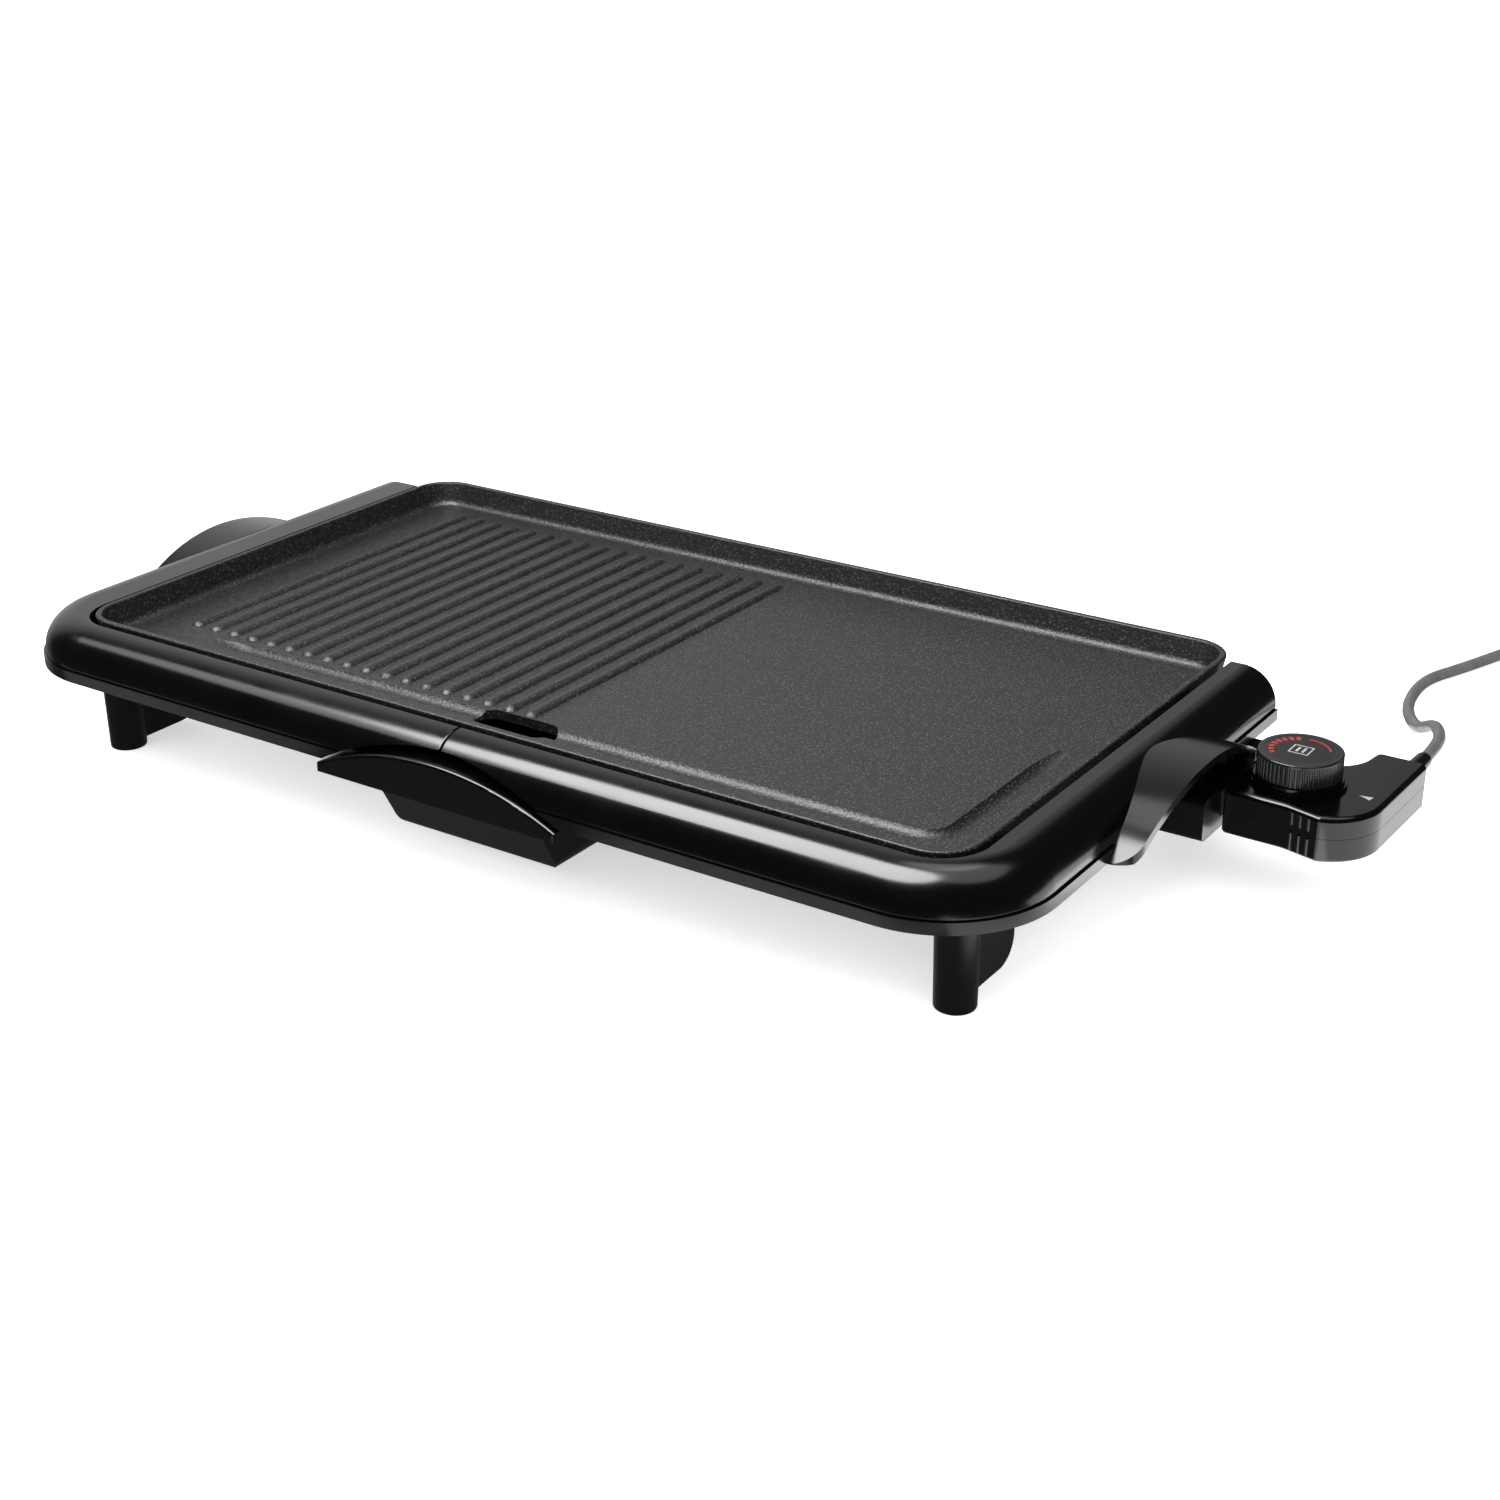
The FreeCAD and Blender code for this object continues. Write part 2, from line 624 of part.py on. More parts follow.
def handle(widening):
    """An arched strap that saddles the base, with two lugs that its screws enter."""
    axis_z = HANDLE_TOP - HANDLE_ARCH
    outside = BASE_HALF_WIDTH + widening
    x0 = outside - 50.0
    x1 = outside + 30.0
    band = along_x(HANDLE_ARCH, x0, x1, HANDLE_MIDDLE, axis_z)
    band = band.cut(along_x(HANDLE_ARCH - HANDLE_THICKNESS, x0, x1, HANDLE_MIDDLE, axis_z))
    strap = prism(handle_plan(widening), 100.0).common(band)
    strap = strap.common(box(x0, x1, -100.0, 120.0, LIP_BOTTOM, 90.0))
    lugs = [box(outside - 3.0, outside + 6.0, y - 5.0, y + 5.0, LIP_TOP + 0.5, 67.0) for y in lug_places()]
    strap = strap.fuse(lugs)
    nose = NOSE_RADIUS + MATING_GAP
    strap = strap.cut(skirt_block(LIP_STEP - MATING_GAP, BASE_TOP + MATING_GAP, nose, widening))
    lip_room = prism(rounded_rectangle(outside + MATING_GAP, -180.0, 200.0, 20.0, LIP_BOTTOM - 1.0),
                     LIP_TOP + 1.0 + MATING_GAP - LIP_BOTTOM)
    strap = strap.cut(lip_room)
    holes = [along_x(1.5 + SCREW_FIT, outside - 3.0, outside + 4.5, y, lug_screw_height())
             for y in lug_places()]
    return strap.cut(holes).removeSplitter()


def handle_screws():
    """Two screws a side, from inside the hollow base."""
    head_room = 1.3
    wall_inside = BASE_HALF_WIDTH - LIP_STEP - BASE_WALL - head_room
    screws = []
    for side, widening in ((-1, LEFT_WIDENING), (1, 0.0)):
        for y in lug_places():
            seat = (side * (wall_inside + widening), y, lug_screw_height())
            screws.append(screw(seat, (side, 0, 0), 8.5, 1.5))
    return Part.makeCompound(screws)


# ---------------------------------------------------------------- legs
def leg(post_y, fin_way, fin_length):
    """A hollow post, a fin that braces it, and a flange that is screwed up under the base."""
    height = LEDGE_BOTTOM
    post = Part.makeCone(POST_FOOT_RADIUS, POST_TOP_RADIUS, height, vec(LEG_X, post_y, 0))
    post = post.makeFillet(1.0, edges_at(post, 0.0))
    core = Part.makeCone(6.5, 7.5, height, vec(LEG_X, post_y, 4.0))
    half = FIN_THICKNESS / 2.0
    fin_end = post_y + fin_way * fin_length
    low = min(post_y, fin_end)
    fin = box(LEG_X - half, LEG_X + half, low, low + fin_length, 1.0, height)
    corner = [edge for edge in fin.Edges
              if abs(edge.BoundBox.YMax - fin_end) < 1e-6 and abs(edge.BoundBox.YMin - fin_end) < 1e-6
              and edge.BoundBox.ZMax < 2.0]
    fin = fin.makeFillet(FIN_CORNER, corner)
    flange = box(LEG_SCREW_X - 6.0, LEG_X + 7.0, low, low + fin_length, FLANGE_BOTTOM, height)
    shape = post.fuse([fin, flange]).cut(core)
    holes = [upright(2.0 + SCREW_FIT, x, y, FLANGE_BOTTOM - 1.0, height + 1.0)
             for x, y in leg_screw_places() if x > 0.0]
    return shape.cut(holes).removeSplitter()


def leg_screws():
    screws = [screw((x, y, FLANGE_BOTTOM), (0, 0, 1), 12.5, 2.0) for x, y in leg_screw_places()]
    return Part.makeCompound(screws)


# ---------------------------------------------------------------- tray
def tray_section(inset):
    """The tray's side view: an upright back and a front that slopes out to its rim."""
    slope = (TRAY_FRONT_FOOT - TRAY_FRONT_RIM) / (TRAY_RIM - TRAY_BOTTOM)
    along_front = inset * math.hypot(1.0, slope)
    lift = inset * slope
    top = TRAY_RIM + (5.0 if inset else 0.0)
    rise = top - TRAY_BOTTOM
    foot_y = TRAY_FRONT_FOOT + along_front
    corners = [
        vec(0.0, foot_y - lift, TRAY_BOTTOM + inset),
        vec(0.0, TRAY_BACK - inset, TRAY_BOTTOM + inset),
        vec(0.0, TRAY_BACK - inset, top),
        vec(0.0, foot_y - slope * rise, top),
    ]
    return Part.makePolygon(corners + corners[:1])


def tray_block(inset):
    half_width = TRAY_HALF_WIDTH - inset
    block = Part.Face(tray_section(inset)).extrude(vec(2.0 * half_width, 0, 0))
    block.translate(vec(-half_width, 0, 0))
    return block.makeFillet(6.0 - inset, edges_at(block, TRAY_BOTTOM + inset))


def drip_tray():
    tray = tray_block(0.0)
    flange = box(-TRAY_FLANGE, TRAY_FLANGE, -157.0, TRAY_BACK, TRAY_RIM - TRAY_SHEET, TRAY_RIM)
    tab = box(-30.0, 30.0, -162.5, -161.0, TRAY_RIM - 2.0, 60.0)
    shelf = box(-30.0, 30.0, -162.5, -157.0, TRAY_RIM - 2.0, TRAY_RIM)
    tray = tray.fuse([flange, tab, shelf]).cut(tray_block(TRAY_SHEET))
    holes = [along_y(1.5 + SCREW_FIT, -164.0, -160.0, x, TRAY_SCREW_Z)
             for x in (-TRAY_SCREW_X, TRAY_SCREW_X)]
    return tray.cut(holes).removeSplitter()


def front_outline(inset, y):
    """The tray front's outline: a flat foot, short upright ends and an arched top."""
    half = FRONT_HALF_WIDTH - inset
    radius = FRONT_ARCH - inset
    centre_z = FRONT_APEX - FRONT_ARCH
    end_z = centre_z + math.sqrt(radius ** 2 - half ** 2)
    bottom = FRONT_BOTTOM - (1.0 if inset else 0.0)
    edges = [
        line(vec(-half, y, bottom), vec(half, y, bottom)),
        line(vec(half, y, bottom), vec(half, y, end_z)),
        arc(vec(half, y, end_z), vec(0.0, y, centre_z + radius), vec(-half, y, end_z)),
        line(vec(-half, y, end_z), vec(-half, y, bottom)),
    ]
    return Part.Wire(edges)


def tray_front():
    """A hollow moulded front, open behind and below, with two screw bosses."""
    wall = 2.5
    block = Part.Face(front_outline(0.0, FRONT_FACE_Y)).extrude(vec(0, FRONT_DEPTH, 0))
    rounded = [edge for edge in block.Edges
               if abs(edge.BoundBox.YMax - FRONT_FACE_Y) < 1e-4 and edge.BoundBox.ZMax > FRONT_BOTTOM + 1.0]
    block = block.makeFillet(1.6, rounded)
    hollow = Part.Face(front_outline(wall, FRONT_FACE_Y + wall)).extrude(vec(0, FRONT_DEPTH, 0))
    places = (-TRAY_SCREW_X, TRAY_SCREW_X)
    bosses = [along_y(3.8, FRONT_FACE_Y + 1.0, -162.6, x, TRAY_SCREW_Z) for x in places]
    holes = [along_y(1.5 + SCREW_FIT, -171.0, -162.0, x, TRAY_SCREW_Z) for x in places]
    return block.cut(hollow).fuse(bosses).cut(holes).removeSplitter()


def tray_screws():
    screws = [screw((x, TRAY_FRONT_RIM, TRAY_SCREW_Z), (0, -1, 0), 9.0, 1.5)
              for x in (-TRAY_SCREW_X, TRAY_SCREW_X)]
    return Part.makeCompound(screws)


def tray_guide():
    """Two rails for the tray's flanges, tied together across the base's front and behind the tray."""
    bottom = FLANGE_BOTTOM + 0.5
    front_tie = box(-RAIL_OUTSIDE, RAIL_OUTSIDE, -150.0, -133.0, bottom, LEDGE_BOTTOM)
    rear_tie = box(-RAIL_OUTSIDE, RAIL_OUTSIDE, -60.0, -50.0, bottom, LEDGE_BOTTOM)
    pieces = [rear_tie]
    lip_top = TRAY_RIM - TRAY_SHEET - 0.3
    for side in (-1, 1):
        edges = sorted((side * RAIL_INSIDE, side * RAIL_OUTSIDE))
        walls = sorted((side * (RAIL_OUTSIDE - 2.0), side * RAIL_OUTSIDE))
        pieces.append(box(edges[0], edges[1], -150.0, -50.0, lip_top - 2.0, lip_top))
        pieces.append(box(walls[0], walls[1], -150.0, -50.0, lip_top - 2.0, LEDGE_BOTTOM))
    guide = front_tie.fuse(pieces)
    holes = [upright(2.0 + SCREW_FIT, x, y, bottom - 1.0, LEDGE_BOTTOM + 1.0)
             for x, y in guide_screw_places()]
    return guide.cut(holes).removeSplitter()


def guide_screws():
    seat_z = FLANGE_BOTTOM + 0.5
    screws = [screw((x, y, seat_z), (0, 0, 1), 12.0, 2.0) for x, y in guide_screw_places()]
    return Part.makeCompound(screws)


# ---------------------------------------------------------------- socket
def socket_housing():
    """A hollow box under the base, open to the right for the control's nose."""
    wall = BASE_WALL
    shell = box(SOCKET_BACK, SOCKET_FACE, SOCKET_FRONT_Y, SOCKET_REAR_Y, SOCKET_BOTTOM, SOCKET_TOP)
    outer_edges = [edge for edge in shell.Edges
                   if abs(edge.BoundBox.XLength - (SOCKET_FACE - SOCKET_BACK)) < 1e-6]
    shell = shell.makeFillet(3.0, outer_edges)
    hollow = box(SOCKET_BACK + wall, SOCKET_FACE - wall, SOCKET_FRONT_Y + wall, SOCKET_REAR_Y - wall,
                 SOCKET_BOTTOM + wall, SOCKET_TOP - wall)
    mouth = box(SOCKET_FACE - 5.0, SOCKET_FACE + 1.0, KNOB_Y - NOSE_HALF_WIDTH - 1.0,
                KNOB_Y + NOSE_HALF_WIDTH + 1.0, PIN_HEIGHT - NOSE_HALF_HEIGHT - 0.7,
                PIN_HEIGHT + NOSE_HALF_HEIGHT + 0.7)
    window = box(SOCKET_BACK - 1.0, SOCKET_BACK + 5.0, KNOB_Y - 16.0, KNOB_Y + 16.0,
                 PIN_HEIGHT - 5.0, PIN_HEIGHT + 5.0)
    holes = [upright(1.75 + SCREW_FIT, x, y, SOCKET_TOP - 4.0, SOCKET_TOP + 1.0)
             for x, y in socket_screw_places()]
    access = [upright(4.5, x, y, SOCKET_BOTTOM - 1.0, SOCKET_BOTTOM + 4.0)
              for x, y in socket_screw_places()]
    return shell.cut([hollow, mouth, window] + holes + access)


def socket_screws():
    screws = [screw((x, y, SOCKET_TOP - BASE_WALL), (0, 0, 1), 14.0, 1.75)
              for x, y in socket_screw_places()]
    return Part.makeCompound(screws)


# ---------------------------------------------------------------- heat control
def control_outline(z):
    """The control's body from above: a bay round the knob and a neck for the cord at its back."""
    corners = [
        (BODY_LEFT, 38.0, 3.5),
        (342.0, 36.8, 20.0),
        (360.0, 32.0, 3.5),
        (380.5, 39.5, 29.0),
        (BODY_RIGHT, NECK_END, 3.5),
        (356.5, NECK_END, 3.5),
        (352.5, 91.0, 20.0),
        (BODY_LEFT, 93.0, 3.5),
    ]
    return rounded_outline(corners, z)


def inset_outline(wire, distance):
    return wire.makeOffset2D(-distance)


def gland_room():
    """The space in the neck's end wall for the strain relief and its collar."""
    collar = along_y(7.2, NECK_END - 5.0, NECK_END - 2.0, NECK_X, PIN_HEIGHT)
    return collar.fuse(along_y(6.1, NECK_END - 6.0, NECK_END + 1.0, NECK_X, PIN_HEIGHT))


def nose_room():
    """The hole in the body's left wall where the contact block stands out."""
    half_width = NOSE_HALF_WIDTH + 0.1
    half_height = NOSE_HALF_HEIGHT + 0.1
    return box(BODY_LEFT - 1.0, BODY_LEFT + 4.0, KNOB_Y - half_width, KNOB_Y + half_width,
               PIN_HEIGHT - half_height, PIN_HEIGHT + half_height)


def shell_screw_places():
    return [(317.0, 44.0), (366.0, 50.0), (317.0, 88.0), (364.0, 98.0)]


def grip_ribs(z0, z1):
    """Three upright ribs that stand out from the front of the body."""
    return [upright(1.0, 346.0 + 4.5 * number, 35.7 - 1.2 * number, z0, z1) for number in range(3)]


def control_shell(closed_z, seam_z, edge_round):
    """Half of the control's body: closed at one height and open at the seam."""
    low = min(closed_z, seam_z)
    high = max(closed_z, seam_z)
    inward = 1.0 if closed_z < seam_z else -1.0
    block = prism(control_outline(low), high - low)
    block = block.makeFillet(edge_round, edges_at(block, closed_z))
    cavity_low = min(closed_z + inward * BODY_WALL, seam_z + inward)
    cavity_high = max(closed_z + inward * BODY_WALL, seam_z + inward)
    cavity = prism(inset_outline(control_outline(cavity_low), BODY_WALL), cavity_high - cavity_low)
    shell = block.cut(cavity)
    bosses = [upright(3.0, x, y, low + 0.5, high - 0.5) for x, y in shell_screw_places()]
    shell = shell.fuse(bosses + grip_ribs(low + edge_round, high - edge_round))
    return shell.cut([gland_room(), nose_room()])


def control_top_shell():
    shell = control_shell(BODY_TOP, PIN_HEIGHT + SHELL_SEAM_GAP / 2.0, 2.5)
    holes = [upright(1.25 + SCREW_FIT, x, y, PIN_HEIGHT - 1.0, BODY_TOP - BODY_WALL)
             for x, y in shell_screw_places()]
    shaft_hole = upright(SHAFT_RADIUS + 1.0, KNOB_X, KNOB_Y, BODY_TOP - 5.0, BODY_TOP + 1.0)
    return shell.cut(holes + [shaft_hole]).removeSplitter()


def control_bottom_shell():
    shell = control_shell(BODY_BOTTOM, PIN_HEIGHT - SHELL_SEAM_GAP / 2.0, 1.5)
    holes = []
    for x, y in shell_screw_places():
        holes.append(upright(1.25 + SCREW_FIT, x, y, BODY_BOTTOM - 1.0, PIN_HEIGHT + 1.0))
        holes.append(upright(2.6, x, y, BODY_BOTTOM - 1.0, BODY_BOTTOM + 3.0))
    return shell.cut(holes).removeSplitter()


def shell_screws():
    seat_z = BODY_BOTTOM + 3.0
    screws = [screw((x, y, seat_z), (0, 0, 1), 15.0, 1.25) for x, y in shell_screw_places()]
    return Part.makeCompound(screws)


def contact_block():
    """The moulded nose that carries the sleeves and the sensor rod."""
    low = NOSE_TIP - 1.0
    high = NOSE_ROOT + 1.5
    block = box(NOSE_TIP, NOSE_ROOT, KNOB_Y - NOSE_HALF_WIDTH, KNOB_Y + NOSE_HALF_WIDTH,
                PIN_HEIGHT - NOSE_HALF_HEIGHT, PIN_HEIGHT + NOSE_HALF_HEIGHT)
    rim = [edge for edge in block.Edges if abs(edge.BoundBox.XMax - NOSE_TIP) < 1e-6]
    block = block.makeFillet(1.2, rim)
    for side in (-1, 1):
        y = KNOB_Y + side * PIN_SPACING / 2.0
        block = block.cut(along_x(SLEEVE_RADIUS + SCREW_FIT, NOSE_TIP + 1.5, high, y, PIN_HEIGHT))
        block = block.cut(along_x(PIN_RADIUS + 0.6, low, NOSE_TIP + 2.0, y, PIN_HEIGHT))
    return block.cut(along_x(SENSOR_RADIUS + SCREW_FIT, low, high, KNOB_Y, PIN_HEIGHT))


def contact_sleeves():
    """Two brass sleeves inside the nose, bored for the pins and closed at their inner ends."""
    sleeves = []
    for side in (-1, 1):
        y = KNOB_Y + side * PIN_SPACING / 2.0
        sleeve = along_x(SLEEVE_RADIUS, NOSE_TIP + 2.0, NOSE_ROOT - 1.0, y, PIN_HEIGHT)
        bore = along_x(PIN_RADIUS + RUNNING_FIT, NOSE_TIP + 1.0, NOSE_ROOT - 3.5, y, PIN_HEIGHT)
        sleeves.append(sleeve.cut(bore))
    return Part.makeCompound(sleeves)


def sensor_rod():
    """The rod that feels the plate's heat; its tip is domed."""
    rod = along_x(SENSOR_RADIUS, SENSOR_TIP, 316.0, KNOB_Y, PIN_HEIGHT)
    return rod.fuse(Part.makeSphere(SENSOR_RADIUS, vec(SENSOR_TIP, KNOB_Y, PIN_HEIGHT))).removeSplitter()


def thermostat_frame():
    """A bent steel channel: it holds the blades below and the knob's shaft above."""
    bottom = box(FRAME_LEFT, 352.0, 53.0, 80.0, FRAME_BOTTOM, FRAME_BOTTOM + FRAME_SHEET)
    riser = box(FRAME_LEFT, FRAME_LEFT + FRAME_SHEET, 53.0, 80.0, FRAME_BOTTOM, FRAME_TOP)
    top = box(FRAME_LEFT, 350.0, 56.0, 77.0, FRAME_TOP - FRAME_SHEET, FRAME_TOP)
    frame = bottom.fuse([riser, top])
    return frame.cut(upright(SHAFT_RADIUS + RUNNING_FIT, KNOB_X, KNOB_Y, 43.0, 47.0)).removeSplitter()


def blade_insulators():
    """Ceramic spacers that keep the two blades apart."""
    levels = [(34.2, 36.0), (36.8, 38.6), (39.0, 41.0)]
    return Part.makeCompound([box(STACK_X, STACK_X + 7.0, 60.0, 72.6, low, high) for low, high in levels])


def bimetal_blade():
    return box(STACK_X, 349.0, 62.3, 70.3, 36.0, 36.8)


def contact_leaf():
    """The thin spring that the bimetal blade opens, with its contact button."""
    leaf = box(STACK_X, 347.0, 63.3, 69.3, 38.6, 39.0)
    return leaf.fuse(upright(1.6, 344.0, KNOB_Y, 37.3, 38.8)).removeSplitter()


def shaft_bushing():
    ring = upright(5.2, KNOB_X, KNOB_Y, FRAME_TOP, FRAME_TOP + 3.0)
    return ring.cut(upright(SHAFT_RADIUS + RUNNING_FIT, KNOB_X, KNOB_Y, FRAME_TOP - 1.0, FRAME_TOP + 4.0))


def flatted_shaft(radius, z0, z1):
    """A round bar with one flat side, which turns the knob."""
    bar = upright(radius, KNOB_X, KNOB_Y, z0, z1)
    flat_x = KNOB_X + radius - 0.8
    return bar.cut(box(flat_x, KNOB_X + 10.0, KNOB_Y - 10.0, KNOB_Y + 10.0, BODY_TOP + 4.5, z1))


def knob_shaft():
    return flatted_shaft(SHAFT_RADIUS, FRAME_TOP - 3.5, KNOB_BOTTOM + 6.0)


def dial_bezel():
    """Two stepped rings on the body, which the knob turns above."""
    lower = upright(23.0, KNOB_X, KNOB_Y, BODY_TOP, BODY_TOP + 2.0)
    upper = upright(21.6, KNOB_X, KNOB_Y, BODY_TOP + 2.0, KNOB_BOTTOM - 0.3)
    rings = lower.fuse(upper)
    rings = rings.cut(upright(SHAFT_RADIUS + 1.0, KNOB_X, KNOB_Y, BODY_TOP - 1.0, KNOB_BOTTOM))
    return rings.cut(upright(17.0, KNOB_X, KNOB_Y, KNOB_BOTTOM - 1.5, KNOB_BOTTOM)).removeSplitter()


def knob():
    """A hollow knob with a fluted skirt and a shallow seat for its disc."""
    body = upright(KNOB_RADIUS, KNOB_X, KNOB_Y, KNOB_BOTTOM, KNOB_TOP)
    body = body.makeFillet(0.8, edges_at(body, KNOB_TOP))
    body = body.cut(upright(17.5, KNOB_X, KNOB_Y, KNOB_BOTTOM - 1.0, KNOB_TOP - 3.0))
    flutes = []
    for number in range(KNOB_FLUTES):
        angle = 2.0 * math.pi * number / KNOB_FLUTES
        x = KNOB_X + (KNOB_RADIUS + 0.25) * math.cos(angle)
        y = KNOB_Y + (KNOB_RADIUS + 0.25) * math.sin(angle)
        flutes.append(upright(0.75, x, y, KNOB_BOTTOM - 1.0, KNOB_TOP - 1.6))
    body = body.cut(flutes)
    hub = upright(5.5, KNOB_X, KNOB_Y, KNOB_BOTTOM + 0.5, KNOB_TOP - 2.5)
    hub = hub.cut(flatted_shaft(SHAFT_RADIUS + SCREW_FIT, KNOB_BOTTOM - 1.0, KNOB_BOTTOM + 6.2))
    body = body.fuse(hub)
    return body.cut(upright(17.6, KNOB_X, KNOB_Y, KNOB_TOP - 0.8, KNOB_TOP + 1.0)).removeSplitter()


def dial_disc():
    return upright(17.5, KNOB_X, KNOB_Y, KNOB_TOP - 0.8, KNOB_TOP - 0.1)


def strain_relief():
    """A tapering sleeve with three rings at its root and a collar that the shells close on."""
    root = 6.0
    tip = 4.2
    flange = along_y(7.0, NECK_END - 4.9, NECK_END - 2.1, NECK_X, PIN_HEIGHT)
    stem = along_y(root, NECK_END - 3.0, NECK_END + 0.5, NECK_X, PIN_HEIGHT)
    taper_length = RELIEF_END - NECK_END
    taper = Part.makeCone(root - 0.8, tip, taper_length, vec(NECK_X, NECK_END, PIN_HEIGHT), vec(0, 1, 0))
    rings = [along_y(root, y, y + 1.6, NECK_X, PIN_HEIGHT) for y in (NECK_END + 1.5, NECK_END + 4.5)]
    return flange.fuse([stem, taper] + rings).removeSplitter()


# ---------------------------------------------------------------- cord, coil and plug
def coil_centre():
    """The middle of the coil: the route's last run is a tangent to its outer turn."""
    before = vec(*CORD_ROUTE[-2])
    joint = vec(*CORD_ROUTE[-1])
    heading = joint - before
    heading.z = 0.0
    heading.normalize()
    return vec(joint.x + COIL_OUTER_TURN * heading.y, joint.y - COIL_OUTER_TURN * heading.x), heading


def coil_inner_turn():
    return COIL_OUTER_TURN - 2.0 * CORD_RADIUS * COIL_CLIMB_START


def turned(heading, turns):
    """A level direction, turned to the right by a number of turns."""
    angle = -2.0 * math.pi * turns
    cosine = math.cos(angle)
    sine = math.sin(angle)
    return vec(heading.x * cosine - heading.y * sine, heading.x * sine + heading.y * cosine)


def cord_coil():
    """The wound part of the cord as one closed ring."""
    centre = coil_centre()[0]
    outer = COIL_OUTER_TURN + CORD_RADIUS
    inner = coil_inner_turn() - CORD_RADIUS
    bottom = TIE_THICKNESS
    top = bottom + 4.0 * CORD_RADIUS
    ring = upright(outer, centre.x, centre.y, bottom, top)
    ring = ring.cut(upright(inner, centre.x, centre.y, bottom - 1.0, top + 1.0))
    return ring.makeFillet(2.5, edges_at(ring, top) + edges_at(ring, bottom))


def coil_tie():
    """A flat band round all the turns, on the side that faces away from the plug."""
    centre, heading = coil_centre()
    gap = 0.45
    inner = coil_inner_turn() - CORD_RADIUS - gap
    outer = COIL_OUTER_TURN + CORD_RADIUS + gap
    top = TIE_THICKNESS + 4.0 * CORD_RADIUS + gap
    half_width = 4.0
    band = box(inner - TIE_THICKNESS, outer + TIE_THICKNESS, -half_width, half_width,
               0.0, top + TIE_THICKNESS)
    band = band.cut(box(inner, outer, -half_width - 1.0, half_width + 1.0, TIE_THICKNESS - 0.05, top))
    band.Placement = FreeCAD.Placement(centre, FreeCAD.Rotation(vec(1, 0, 0), heading))
    return band


def tail_line():
    """Where the cord leaves the coil's top layer and where it enters the plug."""
    centre, heading = coil_centre()
    leaving = turned(heading, COIL_TURNS)
    outward = turned(leaving, -0.25)
    start = centre + outward * (COIL_OUTER_TURN - 0.1)
    start.z = PLUG_THICKNESS / 2.0
    return start, start + leaving * TAIL_LENGTH, leaving


def cord_tail():
    start, end = tail_line()[:2]
    return Part.makeCylinder(CORD_RADIUS, (end - start).Length, start, end - start)


def plug_place():
    """Turns a plug that is built along +X from its cord end into its place beside the coil."""
    end, leaving = tail_line()[1:]
    return FreeCAD.Placement(end, FreeCAD.Rotation(vec(1, 0, 0), leaving))


def plug_body():
    """A moulded plug with a waist for the fingers and a ringed sleeve at its cord end."""
    sleeve_length = 10.0
    half_width = PLUG_WIDTH / 2.0
    half_thick = PLUG_THICKNESS / 2.0
    body = box(sleeve_length, PLUG_LENGTH, -half_width, half_width, -half_thick, half_thick)
    corners = [edge for edge in body.Edges if edge.BoundBox.XLength > 1.0]
    body = body.makeFillet(4.0, corners)
    for side in (-1, 1):
        waist = upright(16.0, sleeve_length + 9.0, side * (half_width + 14.2), -20.0, 20.0)
        body = body.cut(waist)
    rings = [along_x(5.2 - 0.3 * number, 8.0 - 2.6 * number, 9.6 - 2.6 * number, 0.0, 0.0)
             for number in range(4)]
    sleeve = along_x(3.8, 0.0, sleeve_length + 1.0, 0.0, 0.0)
    body = body.fuse([sleeve] + rings).removeSplitter()
    for side in (-1, 1):
        y = side * BLADE_SPACING / 2.0
        body = body.cut(box(PLUG_LENGTH - 6.0, PLUG_LENGTH + 1.0, y - 0.8, y + 0.8, -3.25, 3.25))
    body.Placement = plug_place()
    return body


def plug_blades():
    """Two flat blades half an inch apart, with a hole near each tip."""
    blades = []
    for side in (-1, 1):
        y = side * BLADE_SPACING / 2.0
        blade = box(PLUG_LENGTH - 6.0, PLUG_LENGTH + 16.0, y - 0.75, y + 0.75, -3.175, 3.175)
        blade = blade.cut(along_y(1.5, y - 2.0, y + 2.0, PLUG_LENGTH + 11.5, 0.0))
        blade.Placement = plug_place()
        blades.append(blade)
    return Part.makeCompound(blades)


# ---------------------------------------------------------------- writing the pieces
def footprint_middle():
    """The middle of the griddle with its control, seen from above."""
    left = -HANDLE_REACH - LEFT_WIDENING
    back = PLATE_DEPTH / 2.0
    return vec((left + BODY_RIGHT) / 2.0, (FRONT_FACE_Y + back) / 2.0)


